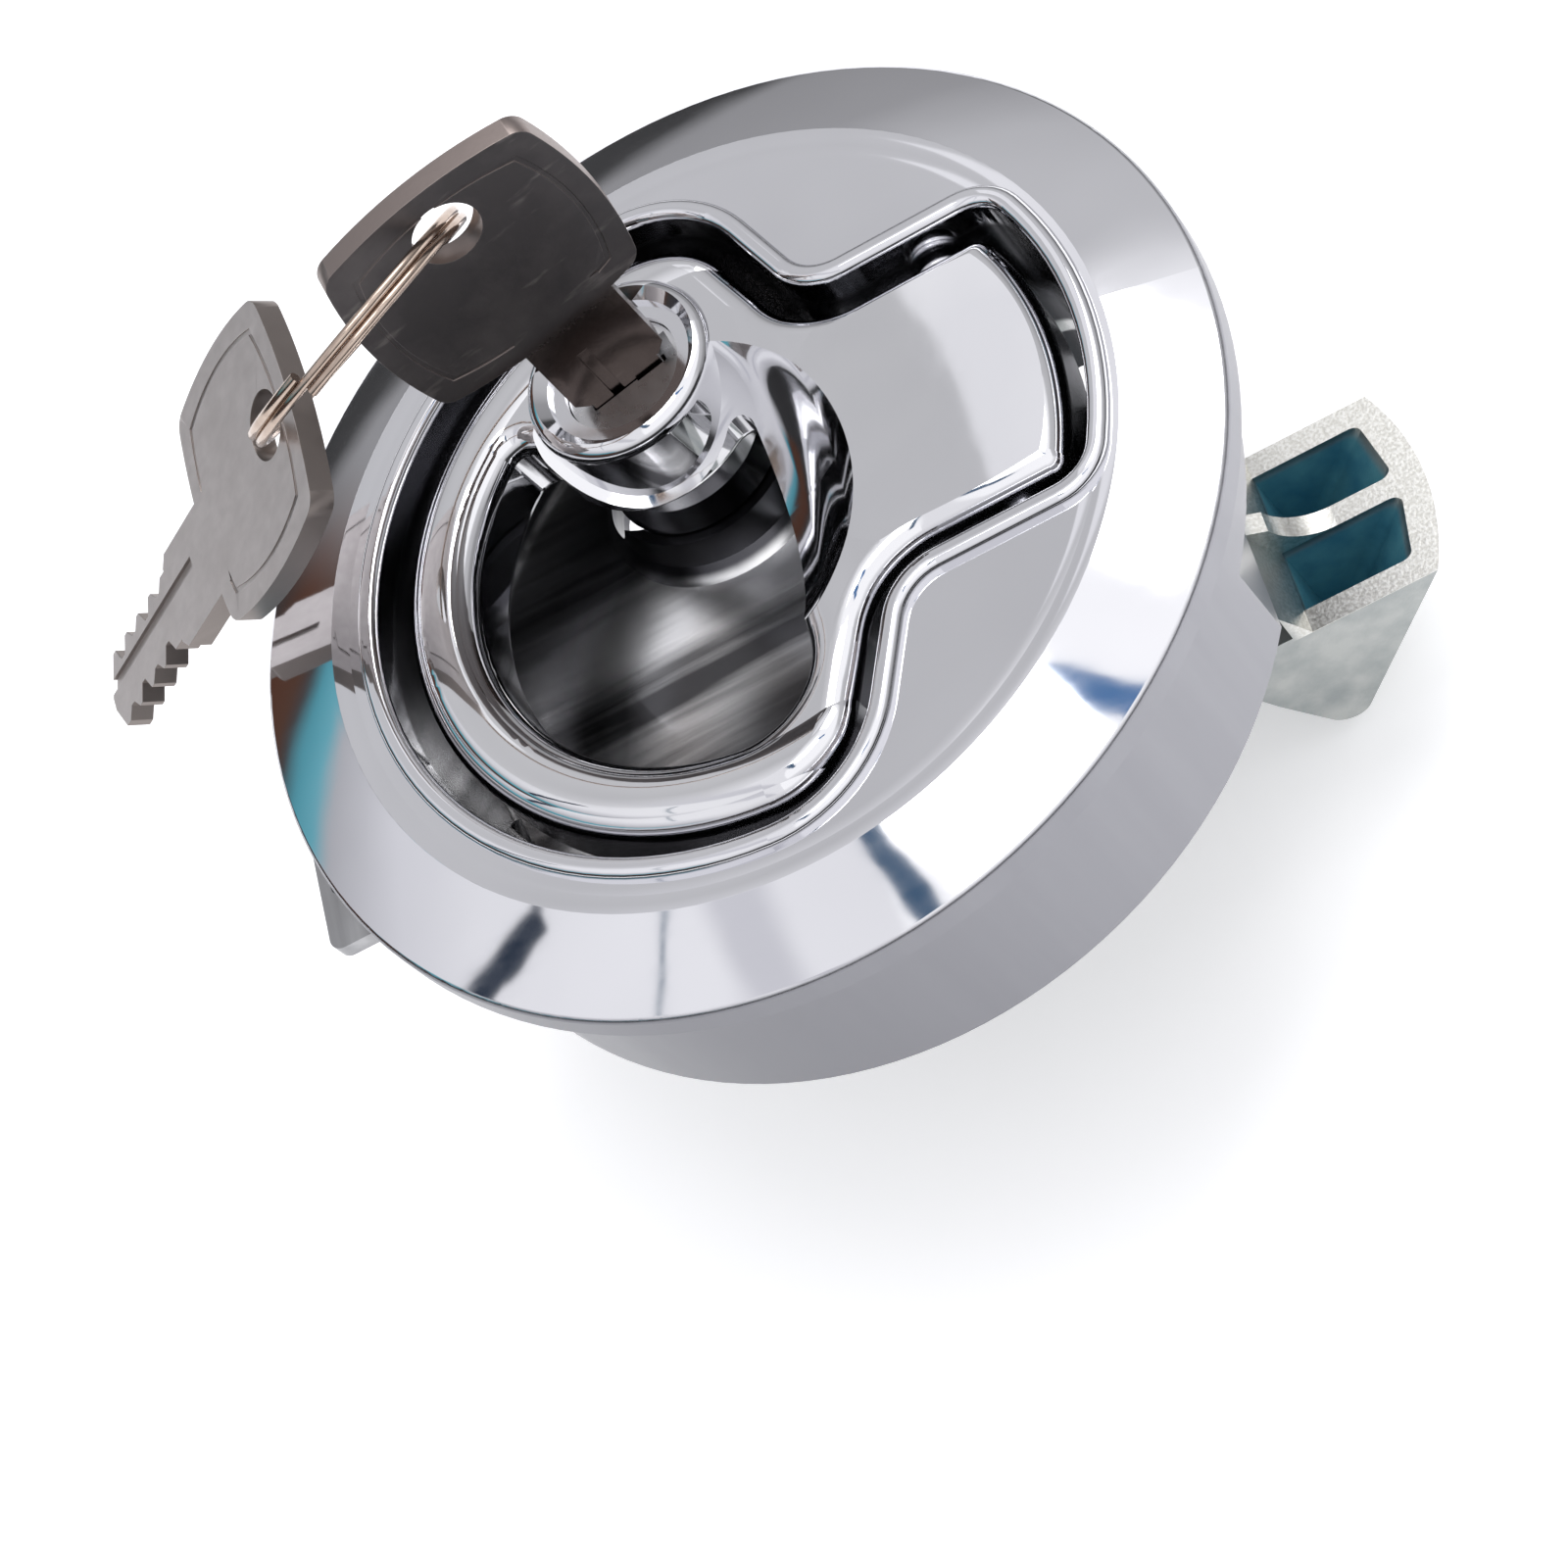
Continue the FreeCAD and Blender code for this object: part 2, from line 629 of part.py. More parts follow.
def make_bolt():
    """Slam bolt: a hub, two tail arms and a coring-pocketed head with a ramp."""
    ramp = math.radians(RAMP_ANGLE)
    hub_x, hub_z = BOLT_PIN_X, BOLT_PIN_Z
    below = FAR / 2
    below_x = BOLT_BACK_X + below * math.tan(math.radians(BACK_ANGLE))
    profile = [
        (hub_x + BOLT_HUB_R * NECK_FRONT, hub_z + NECK_FRONT_RISE),
        (STRIKE_INNER_X, STRIKE_Z),
        (FAR, STRIKE_Z),
        (FAR, BOLT_BACK_Z - below),
        (below_x, BOLT_BACK_Z - below),
        (BOLT_BACK_X, BOLT_BACK_Z),
        (hub_x - BOLT_HUB_R * NECK_BACK, hub_z - NECK_BACK_DROP),
    ]
    body = plate_y(profile, -BOLT_HALF_W, BOLT_HALF_W)
    hub = cylinder_y(BOLT_HUB_R, -BOLT_HALF_W, BOLT_HALF_W, hub_x, hub_z)
    body = joined(body, hub)
    along = V(math.sin(ramp), 0, math.cos(ramp))
    outward = V(math.cos(ramp), 0, -math.sin(ramp))
    start = V(BOLT_TIP_X, 0, STRIKE_Z) - outward * BOLT_TIP_ARC_R - along * FAR
    body = body.common(Part.makeCylinder(BOLT_TIP_ARC_R, 2 * FAR, start, along))
    low_z = body.BoundBox.ZMin

    def is_toe(edge):
        bounds = edge.BoundBox
        return bounds.ZMin < low_z + BOLT_TOE_ROUND and bounds.YLength > BOLT_HALF_W

    body = rounded(body, BOLT_TOE_ROUND, is_toe)
    body = body.cut(make_spring_notch())
    body = joined(body, make_rib_sweep()).cut(make_bolt_pockets())
    for side in (-1, 1):
        body = body.fuse(make_tail_arm(side))
    slot_x, slot_z = hub_x + NECK_SLOT_X, hub_z - NECK_SLOT_DEPTH
    slot = box(hub_x - FAR, slot_x, -TAIL_ARM_INNER_Y, TAIL_ARM_INNER_Y, slot_z, 0)
    hub_middle = cylinder_y(BOLT_HUB_R, -TAIL_ARM_INNER_Y, TAIL_ARM_INNER_Y, hub_x, hub_z)
    neck_web = box(hub_x + NECK_WEB_X, slot_x, -FAR, FAR, slot_z, hub_z)
    body = body.cut(slot.cut(hub_middle).cut(neck_web))
    body = body.cut(cylinder_y(BOLT_PIN_R + bore_gap, -FAR, FAR, hub_x, hub_z))
    return body.removeSplitter()


def make_spring_notch():
    """Step in the near side of the neck for the spring's leg and its hook."""
    y_low, y_high = -FAR, -BOLT_HALF_W + NOTCH_DEPTH
    low_z = SPRING_HOOK_Z - NOTCH_BELOW
    notch = box(BOLT_PIN_X, SPRING_HOOK_X + NOTCH_BELOW, y_low, y_high, low_z, 0)
    under = plate_y(
        [
            (BOLT_PIN_X, BOLT_PIN_Z - NOTCH_REACH),
            (SPRING_HOOK_X - NOTCH_REACH, low_z),
            (BOLT_PIN_X, low_z),
        ],
        y_low,
        y_high,
    )
    hub_keep = cylinder_y(BOLT_HUB_R + NOTCH_BELOW, -FAR, FAR, BOLT_PIN_X, BOLT_PIN_Z)
    return notch.cut(under).cut(hub_keep)


def make_rib_sweep():
    """Foot of the rib, swept up the front of the neck in an arc."""
    half = POCKET_RIB / 2
    reach = RIB_SWEEP_R
    foot = STRIKE_INNER_X - reach / 2
    end = foot + RIB_SWEEP_RUN
    outline = [(foot, STRIKE_Z), (end, STRIKE_Z), (end, STRIKE_Z + 1), (foot, STRIKE_Z + reach)]
    block = plate_y(outline, -half, half)
    return block.cut(cylinder_y(reach, -half - 1, half + 1, STRIKE_INNER_X + reach, STRIKE_Z + reach))


def make_bolt_pockets():
    """Two cored pockets in the strike face, either side of the rib, that narrow with the ramp."""
    lean = POCKET_DEPTH * math.tan(math.radians(RAMP_ANGLE))
    cutters = []
    for side in (-1, 1):
        inner = POCKET_RIB / 2
        outer = BOLT_HALF_W - POCKET_WALL
        top = [
            V(STRIKE_INNER_X, side * inner, STRIKE_Z),
            V(tip_x(inner) - POCKET_TIP_WALL, side * inner, STRIKE_Z),
            V(tip_x(outer) - POCKET_TIP_WALL, side * outer, STRIKE_Z),
            V(STRIKE_INNER_X, side * outer, STRIKE_Z),
        ]
        low = []
        for corner in top:
            tip_side = corner.x > STRIKE_INNER_X
            x = corner.x - lean if tip_side else corner.x + POCKET_DRAFT
            middle = side * (inner + outer) / 2
            y = corner.y + math.copysign(POCKET_DRAFT, middle - corner.y)
            low.append(V(x, y, STRIKE_Z - POCKET_DEPTH))
        wires = [Part.makePolygon(ring + ring[:1]) for ring in (top, low)]
        pocket = Part.makeLoft(wires, True, True)

        def tip_corner(edge):
            return edge.BoundBox.ZLength > POCKET_DEPTH / 2 and edge.BoundBox.XLength > lean / 2

        cutters.append(rounded(pocket, POCKET_CORNER, tip_corner))
    return cutters[0].fuse(cutters[1])


def make_tail_arm(side):
    """Tail arm whose underside is an arc that the trip bar follows."""
    y_low = min(side * TAIL_ARM_INNER_Y, side * TAIL_ARM_OUTER_Y)
    y_high = y_low + TAIL_ARM_OUTER_Y - TAIL_ARM_INNER_Y
    arc_x = BOLT_PIN_X + TRIP_X - HANDLE_PIN_X
    arc_z = BOLT_PIN_Z + TRIP_Z - HANDLE_PIN_Z
    centres = math.hypot(HANDLE_PIN_X - BOLT_PIN_X, HANDLE_PIN_Z - BOLT_PIN_Z)
    cam_r = centres + TRIP_BAR_R + TRIP_GAP
    block = box(BOLT_PIN_X - TAIL_ARM_LENGTH, BOLT_PIN_X, y_low, y_high, arc_z, TAIL_ARM_TOP_Z)
    arm = block.cut(cylinder_y(cam_r, y_low - 1, y_high + 1, arc_x, arc_z))
    crown_r = cam_r + TAIL_ARM_CROWN
    return arm.common(cylinder_y(crown_r, y_low - 1, y_high + 1, arc_x, arc_z))


def coil_spring(mean_r, wire, turns, x, z, y_start, legs):
    """Torsion spring round a Y axis: closed turns as one wound band, and straight legs."""
    shape = None
    for turn in range(turns):
        y = y_start + wire * (turn + 0.5)
        ring = Part.makeTorus(mean_r, wire / 2 + SOLID_LAP, V(x, y, z), Y_AXIS)
        shape = ring if shape is None else shape.fuse(ring)
    for start, end in legs:
        run = end - start
        leg = Part.makeCylinder(wire / 2, run.Length, start, run)
        shape = shape.fuse(leg).fuse(Part.makeSphere(wire / 2, end))
    return shape.removeSplitter()


def make_bolt_spring():
    wire = BOLT_SPRING_WIRE
    mean_r = BOLT_PIN_R + SPRING_PIN_GAP + wire / 2
    side_y = -BOLT_HALF_W - SPRING_SIDE_GAP
    y_start = side_y - wire * BOLT_SPRING_TURNS
    y_inner = side_y - wire / 2
    y_outer = y_start + wire / 2
    leg_top = V(BOLT_PIN_X + mean_r, y_inner, BOLT_PIN_Z)
    knee = V(SPRING_HOOK_X - SPRING_KNEE / 2, y_inner, SPRING_HOOK_Z + SPRING_KNEE)
    hook = V(SPRING_HOOK_X, -BOLT_HALF_W + SPRING_HOOK_IN, SPRING_HOOK_Z)
    anchor_from = V(BOLT_PIN_X, y_outer, BOLT_PIN_Z + mean_r)
    anchor_to = V(BOLT_PIN_X - BOLT_SPRING_ANCHOR, y_outer, BOLT_PIN_Z + mean_r)
    legs = [(leg_top, knee), (knee, hook), (anchor_from, anchor_to)]
    return coil_spring(mean_r, wire, BOLT_SPRING_TURNS, BOLT_PIN_X, BOLT_PIN_Z, y_start, legs)


def make_handle_spring():
    wire = HANDLE_SPRING_WIRE
    mean_r = HANDLE_PIN_R + SPRING_PIN_GAP + wire / 2
    y_start = tail_half_w + SPRING_SIDE_GAP
    y_inner = y_start + wire / 2
    y_outer = y_start + wire * (HANDLE_SPRING_TURNS - 0.5)
    pin = V(HANDLE_PIN_X, 0, HANDLE_PIN_Z)
    under_from = pin + V(0, y_inner, -mean_r)
    under_to = pin + V(-HANDLE_SPRING_LEG, y_inner, -mean_r)
    down_from = pin + V(mean_r, y_outer, 0)
    down_to = pin + V(mean_r, y_outer, -HANDLE_SPRING_DROP)
    legs = [(under_from, under_to), (down_from, down_to)]
    return coil_spring(mean_r, wire, HANDLE_SPRING_TURNS, HANDLE_PIN_X, HANDLE_PIN_Z, y_start, legs)


def make_lock_barrel():
    """Die-cast lock barrel, pressed into the collar of the pull."""
    bore = PLUG_R + PLUG_GAP
    tail_bore = PLUG_TAIL_R + PLUG_TAIL_GAP
    profile = [
        (bore, BARREL_TOP_Z),
        (BARREL_R, BARREL_TOP_Z),
        (BARREL_R, HANDLE_BOTTOM_Z),
        (BARREL_LOW_R, HANDLE_BOTTOM_Z),
        (BARREL_LOW_R, BARREL_BOTTOM_Z + BARREL_FOOT_H),
        (BARREL_FOOT_R, BARREL_BOTTOM_Z),
        (tail_bore, BARREL_BOTTOM_Z),
        (tail_bore, BARREL_BOTTOM_Z + PLUG_LIP_H),
        (bore, BARREL_BOTTOM_Z + PLUG_LIP_H),
    ]
    return revolved(profile, LOCK_X, LOCK_Y)


def turned_with_key(shape):
    """Turns a piece made in the key's own frame to where the key stands, and moves it to the lock."""
    shape.rotate(V(0, 0, 0), Z_AXIS, KEY_TURN)
    return at_lock(shape)


def make_lock_plug():
    """Plug with its keyway, wafer slots and tail."""
    top, low = PLUG_TOP_Z, plug_low_z
    plug = joined(cylinder(PLUG_R, low, top), cylinder(PLUG_TAIL_R, PLUG_BOTTOM_Z, low))
    half_l = KEY_BLADE_W / 2 + KEY_BLADE_GAP
    half_w = KEY_T / 2 + KEYWAY_GAP
    keyway_low = key_shoulder_z() - KEY_BLADE_LENGTH - KEYWAY_END_GAP
    keyway = box(-half_l, half_l, -half_w, half_w, keyway_low, FAR)
    notch_half = KEYWAY_NOTCH_W / 2
    notch_from, notch_to = half_l - KEYWAY_NOTCH_W, half_l + KEYWAY_NOTCH_L
    notch = box(notch_from, notch_to, -notch_half, notch_half, top - KEYWAY_NOTCH_H, FAR)
    plug = plug.cut(keyway).cut(notch)
    for index in range(WAFER_COUNT):
        plug = plug.cut(wafer_block(index, WAFER_GAP))
    thread = cylinder(CAM_SCREW_R, -FAR, cam_screw_tip_z())
    return turned_with_key(plug.cut(thread))


def key_shoulder_z():
    return BARREL_TOP_Z + KEY_SHOULDER_GAP


def cam_screw_tip_z():
    return PLUG_BOTTOM_Z - CAM_T + CAM_SCREW_LENGTH


def wafer_block(index, gap):
    half_l, half_w = WAFER_LENGTH / 2 + gap, WAFER_W / 2 + gap
    top = WAFER_FIRST_Z - index * wafer_pitch + gap
    return box(-half_l, half_l, -half_w, half_w, top - WAFER_T - 2 * gap, top)


def make_wafer(index):
    """One sliding wafer with the window that the blade passes through."""
    half_l = KEY_BLADE_W / 2 + KEY_BLADE_GAP
    half_w = KEY_T / 2 + WAFER_WINDOW_GAP
    window = box(-half_l, half_l, -half_w, half_w, -FAR, FAR)
    return turned_with_key(wafer_block(index, 0).cut(window))


def make_lock_cam():
    """Cam plate whose nose turns under the floor of the well."""
    low, high = PLUG_BOTTOM_Z - CAM_T, PLUG_BOTTOM_Z
    disc = cylinder(CAM_R, low, high)
    strip = box(-CAM_NOSE_HALF_W, CAM_NOSE_HALF_W, 0, FAR, low, high)
    tip = cylinder(CAM_REACH, low, high).common(strip)
    cam = joined(disc, tip)
    cam = cam.cut(cylinder(CAM_SCREW_R + CAM_SCREW_GAP, low - 1, high + 1))
    return at_lock(cam)


def make_cam_screw():
    low = PLUG_BOTTOM_Z - CAM_T
    shank = cylinder(CAM_SCREW_R, low, cam_screw_tip_z())
    head = cylinder(CAM_SCREW_HEAD_R, low - CAM_SCREW_HEAD_H, low)
    face_z = low - CAM_SCREW_HEAD_H
    head = rounded(head, CAM_SCREW_ROUND, lies_at_z(face_z))
    slot = box(-FAR, FAR, -CAM_SLOT_HALF_W, CAM_SLOT_HALF_W, -FAR, face_z + CAM_SLOT_DEPTH)
    return at_lock(joined(shank, head).cut(slot))


def bow_outline(inset, y):
    """Barrel-shaped square bow: four bulged sides, as arcs, on the plane of a given y."""
    half_w, half_h = KEY_BOW_W / 2 - inset, KEY_BOW_H / 2 - inset
    bulge = KEY_BOW_BULGE
    corners = [V(-half_w, y, -half_h), V(half_w, y, -half_h), V(half_w, y, half_h), V(-half_w, y, half_h)]
    far_w, far_h = half_w + bulge, half_h + bulge
    middles = [V(0, y, -far_h), V(far_w, y, 0), V(0, y, far_h), V(-far_w, y, 0)]
    arcs = [Part.Arc(corners[i], middles[i], corners[(i + 1) % 4]).toShape() for i in range(4)]
    return Part.Wire(arcs)


def key_bow():
    """The bow about its own centre, with the shallow line pressed in round both faces."""
    half_t = KEY_T / 2
    bow = Part.Face(bow_outline(0, -half_t)).extrude(V(0, KEY_T, 0))
    corner = lambda edge: edge.BoundBox.XLength < TINY and edge.BoundBox.ZLength < TINY
    bow = rounded(bow, KEY_BOW_CORNER, corner)
    for side in (-1, 1):
        y = side * (half_t - KEY_INLAY_DEPTH)
        outer = Part.Face(bow_outline(KEY_INLAY_IN, y)).extrude(V(0, side, 0))
        inner = Part.Face(bow_outline(KEY_INLAY_IN + KEY_INLAY_W, y)).extrude(V(0, side, 0))
        bow = bow.cut(outer.cut(inner))
    return bow.cut(cylinder_y(KEY_HOLE_R, -KEY_T, KEY_T, 0, KEY_HOLE_UP))


def blade_outline():
    """Neck, shoulders and cut blade: half the cuts on each edge, as (x, z) corners from the neck down."""
    half_neck, half_blade = KEY_NECK_W / 2, KEY_BLADE_W / 2
    step = KEY_SHOULDER_H
    neck_top = KEY_NECK_LAP + KEY_NECK_LENGTH
    right = [(half_neck, neck_top), (half_neck, step), (half_neck - step, 0), (half_blade, 0)]
    left = [(-half_neck, neck_top), (-half_neck, step), (-half_neck + step, 0), (-half_blade, 0)]
    pitch = (KEY_BLADE_LENGTH - KEY_TIP_BLUNT - KEY_CUT_START) / KEY_CUTS
    for index in range(KEY_CUTS):
        for points, sign, shift in ((right, 1, KEY_CUT_STAGGER), (left, -1, 0.0)):
            start = -KEY_CUT_START - pitch * (index + shift)
            deep = (index + (sign > 0)) % 2
            depth = KEY_CUT_DEPTH if deep else KEY_CUT_DEPTH * KEY_CUT_LEAST
            edge = sign * half_blade
            root = sign * (half_blade - depth)
            root_z = start - pitch * KEY_CUT_IN
            points.append((edge, start))
            points.append((root, root_z))
            points.append((root, root_z - KEY_CUT_ROOT))
            points.append((edge, start - pitch * KEY_CUT_OUT))
    tip_z = -KEY_BLADE_LENGTH
    right.append((half_blade, tip_z + KEY_TIP_BLUNT * KEY_TIP_SHARE))
    left.append((-half_blade, tip_z + KEY_TIP_BLUNT))
    tip = [(half_blade - KEY_TIP_BLUNT, tip_z), (-half_blade + KEY_TIP_BLUNT * KEY_TIP_BACK, tip_z)]
    return right + tip + left[::-1]


def make_key_blank():
    """A whole key: z = 0 is its shoulder, the blade is on the Z axis and the bow is above."""
    half_t = KEY_T / 2
    bow = key_bow()
    bow.translate(V(KEY_BOW_OFFSET, 0, bow_centre_up()))
    blade = plate_y(blade_outline(), -half_t, half_t)
    half_groove, depth = KEY_GROOVE_W / 2, KEY_GROOVE_DEPTH
    groove_high = KEY_NECK_LENGTH * KEY_GROOVE_UP
    for side in (-1, 1):
        x = side * KEY_GROOVE_X
        y = side * half_t
        groove = box(x - half_groove, x + half_groove, y - depth, y + depth, -FAR, groove_high)
        blade = blade.cut(groove)
    return joined(bow, blade)


def bow_centre_up():
    return KEY_NECK_LENGTH + KEY_BOW_H / 2


def make_key():
    blank = make_key_blank()
    blank.translate(V(0, 0, key_shoulder_z()))
    return turned_with_key(blank)


def key_hole_centre():
    turn = math.radians(KEY_TURN)
    x = LOCK_X + KEY_BOW_OFFSET * math.cos(turn)
    y = LOCK_Y + KEY_BOW_OFFSET * math.sin(turn)
    return V(x, y, key_shoulder_z() + bow_centre_up() + KEY_HOLE_UP)


def spare_placement():
    """Where the spare key hangs: its bow centre and the directions across and along it."""
    turn = FreeCAD.Rotation(SPARE_ACROSS, V(0, 0, 0), SPARE_ALONG, "ZXY")
    offset = turn.multVec(V(KEY_BOW_OFFSET, 0, bow_centre_up()))
    centre = key_hole_centre() + SPARE_FROM_KEY_HOLE
    return FreeCAD.Placement(centre - offset, turn)


def spare_hole_centre():
    hole = V(KEY_BOW_OFFSET, 0, bow_centre_up() + KEY_HOLE_UP)
    return spare_placement().multVec(hole)


def make_spare_key():
    blank = make_key_blank()
    return blank.transformGeometry(spare_placement().toMatrix())


def make_key_ring():
    """Split ring of two turns side by side, through both key holes."""
    start, end = key_hole_centre(), spare_hole_centre()
    centre = (start + end) * 0.5
    across = end - start
    mean_r = across.Length / 2
    turn = math.radians(KEY_TURN)
    key_normal = V(-math.sin(turn), math.cos(turn), 0)
    spare_normal = spare_placement().Rotation.multVec(Y_AXIS)
    axis = across.cross(key_normal + spare_normal)
    axis.normalize()
    offset = RING_WIRE_R - SOLID_LAP
    rings = []
    for side in (-1, 1):
        rings.append(Part.makeTorus(mean_r, RING_WIRE_R, centre + axis * (side * offset), axis))
    return rings[0].fuse(rings[1])


def make_clamp_bracket():
    """Folded steel clamp: slotted plate on the body's flat and a leg under the panel."""
    outer_x = -FLAT_X - BRACKET_T
    free_z = SCREW_Z - SLOT_FROM_FREE_EDGE
    top_z = free_z + BRACKET_H
    half_w = BRACKET_W / 2
    plate = box(outer_x, -FLAT_X, -half_w, half_w, free_z, top_z)
    leg = box(-FLAT_X - BRACKET_LEG, -FLAT_X, -half_w, half_w, top_z - BRACKET_T, top_z)
    bracket = joined(plate, leg)
    bend = lambda edge: lies_at_z(top_z)(edge) and lies_at_x(-FLAT_X)(edge)
    bracket = rounded(bracket, BRACKET_BEND_R, bend)
    plate_corner = lambda edge: lies_at_z(free_z)(edge) and edge.BoundBox.YLength < TINY
    bracket = rounded(bracket, BRACKET_CORNER, plate_corner)
    leg_corner = lambda edge: lies_at_x(-FLAT_X - BRACKET_LEG)(edge) and is_vertical(edge)
    bracket = rounded(bracket, BRACKET_LEG_CORNER, leg_corner)
    for side in (-1, 1):
        y = side * SLOT_SPACING / 2
        run = (SLOT_LENGTH - SLOT_W) / 2
        x_low, x_high = outer_x - 1, -FLAT_X + 1
        slot = cylinder_x(SLOT_W / 2, x_low, x_high, y, SCREW_Z + run)
        slot = slot.fuse(cylinder_x(SLOT_W / 2, x_low, x_high, y, SCREW_Z - run))
        slot = slot.fuse(box(x_low, x_high, y - SLOT_W / 2, y + SLOT_W / 2, SCREW_Z - run, SCREW_Z + run))
        bracket = bracket.cut(slot)
        dimple_x = -FLAT_X - BRACKET_LEG + DIMPLE_IN
        dimple = Part.makeCone(DIMPLE_R, DIMPLE_TIP_R, DIMPLE_H, V(dimple_x, y, top_z), Z_AXIS)
        bracket = bracket.fuse(dimple)
    return bracket.removeSplitter()


def washer_x(radius, bore, x_low, thickness, y):
    ring = cylinder_x(radius, x_low, x_low + thickness, y, SCREW_Z)
    return ring.cut(cylinder_x(bore, x_low - 1, x_low + thickness + 1, y, SCREW_Z))


def flat_washer_x():
    return -FLAT_X - BRACKET_T - FLAT_WASHER_T


def spring_washer_x():
    return flat_washer_x() - SPRING_WASHER_T


def make_flat_washer(side):
    bore = SCREW_R + WASHER_BORE_GAP
    return washer_x(FLAT_WASHER_R, bore, flat_washer_x(), FLAT_WASHER_T, side * SLOT_SPACING / 2)


def make_spring_washer(side):
    """Split washer, with the slanted cut of a coiled section."""
    y = side * SLOT_SPACING / 2
    x_low = spring_washer_x()
    bore = SCREW_R + WASHER_BORE_GAP
    ring = washer_x(SPRING_WASHER_R, bore, x_low, SPRING_WASHER_T, y)
    x_high, half = x_low + SPRING_WASHER_T + 1, SPRING_WASHER_CUT
    cut = box(x_low - 1, x_high, y - half, y + half, SCREW_Z, SCREW_Z + FAR)
    cut.rotate(V(x_low, y, SCREW_Z), Z_AXIS, SPRING_WASHER_SLANT)
    return ring.cut(cut)


def make_bracket_screw(side):
    """Cheese head screw with a cross and slot drive, clamped through its two washers."""
    y = side * SLOT_SPACING / 2
    seat_x = spring_washer_x()
    shank = cylinder_x(SCREW_R, seat_x, seat_x + SCREW_LENGTH, y, SCREW_Z)
    head = cylinder_x(SCREW_HEAD_R, seat_x - SCREW_HEAD_H, seat_x, y, SCREW_Z)
    head = rounded(head, SCREW_HEAD_ROUND, lies_at_x(seat_x - SCREW_HEAD_H))
    screw = joined(shank, head)
    face_x = seat_x - SCREW_HEAD_H
    half = SCREW_SLOT_W / 2
    slot = box(face_x - 1, face_x + SCREW_SLOT_DEPTH, y - FAR, y + FAR, SCREW_Z - half, SCREW_Z + half)
    reach = SCREW_CROSS_HALF
    cross = box(face_x - 1, face_x + SCREW_CROSS_DEPTH, y - half, y + half, SCREW_Z - reach, SCREW_Z + reach)
    return screw.cut(slot).cut(cross)


def build_parts():
    handle_pin_end = wall_outer_y
    bolt_pin_end = wall_outer_y + PIN_BOSS_H
    parts = {
        "housing": make_housing(),
        "pull_handle": make_pull_handle(),
        "handle_pin": pin_with_head(HANDLE_PIN_R, HANDLE_PIN_X, HANDLE_PIN_Z, handle_pin_end),
        "handle_pin_clip": e_clip(HANDLE_PIN_R, HANDLE_PIN_X, HANDLE_PIN_Z, handle_pin_end),
        "handle_spring": make_handle_spring(),
        "bolt": make_bolt(),
        "bolt_pin": pin_with_head(BOLT_PIN_R, BOLT_PIN_X, BOLT_PIN_Z, bolt_pin_end),
        "bolt_pin_clip": e_clip(BOLT_PIN_R, BOLT_PIN_X, BOLT_PIN_Z, bolt_pin_end),
        "bolt_spring": make_bolt_spring(),
        "lock_barrel": make_lock_barrel(),
        "lock_plug": make_lock_plug(),
        "lock_cam": make_lock_cam(),
        "cam_screw": make_cam_screw(),
        "key": make_key(),
        "key_ring": make_key_ring(),
        "spare_key": make_spare_key(),
        "clamp_bracket": make_clamp_bracket(),
    }
    for index in range(WAFER_COUNT):
        parts[f"wafer_{index + 1}"] = make_wafer(index)
    for number, side in ((1, -1), (2, 1)):
        parts[f"bracket_screw_{number}"] = make_bracket_screw(side)
        parts[f"spring_washer_{number}"] = make_spring_washer(side)
        parts[f"flat_washer_{number}"] = make_flat_washer(side)
    return parts


os.makedirs("parts", exist_ok=True)
for name, shape in build_parts().items():
    solids = len(shape.Solids)
    print(name, "solids", solids, "valid", shape.isValid(), "volume", round(shape.Volume, 1))
    shape.exportStep(f"parts/{name}.step")
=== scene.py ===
import math

import bpy
from mathutils import Matrix, Vector


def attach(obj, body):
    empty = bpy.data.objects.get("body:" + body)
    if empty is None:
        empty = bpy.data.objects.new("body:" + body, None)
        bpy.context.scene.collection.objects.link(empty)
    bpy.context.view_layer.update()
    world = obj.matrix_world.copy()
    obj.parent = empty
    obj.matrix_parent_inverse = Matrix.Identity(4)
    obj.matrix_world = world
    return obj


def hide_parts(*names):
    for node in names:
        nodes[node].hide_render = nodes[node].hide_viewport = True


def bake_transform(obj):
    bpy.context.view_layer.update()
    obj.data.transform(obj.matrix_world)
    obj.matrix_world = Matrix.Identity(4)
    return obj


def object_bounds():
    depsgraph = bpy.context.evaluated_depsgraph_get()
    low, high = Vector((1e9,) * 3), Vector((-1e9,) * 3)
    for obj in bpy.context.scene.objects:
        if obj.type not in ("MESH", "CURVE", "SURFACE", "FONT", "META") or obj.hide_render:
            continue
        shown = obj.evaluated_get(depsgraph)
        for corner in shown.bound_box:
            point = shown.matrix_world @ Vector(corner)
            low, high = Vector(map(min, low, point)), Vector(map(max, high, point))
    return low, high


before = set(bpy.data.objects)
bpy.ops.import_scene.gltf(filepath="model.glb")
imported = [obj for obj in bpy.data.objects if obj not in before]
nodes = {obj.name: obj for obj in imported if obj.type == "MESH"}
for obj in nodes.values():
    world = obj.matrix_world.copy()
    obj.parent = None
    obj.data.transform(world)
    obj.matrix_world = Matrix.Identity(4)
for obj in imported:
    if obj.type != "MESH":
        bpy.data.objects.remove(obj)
cad_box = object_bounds()
bpy.ops.object.select_all(action="DESELECT")

# View of the photograph
# The latch is seen from above and from its key side, with the camera rolled
# so that the pull runs up to the right.
MM = 0.001


def mm(x, y, z):
    """A place or a step in millimetres."""
    return Vector((x, y, z)) * MM


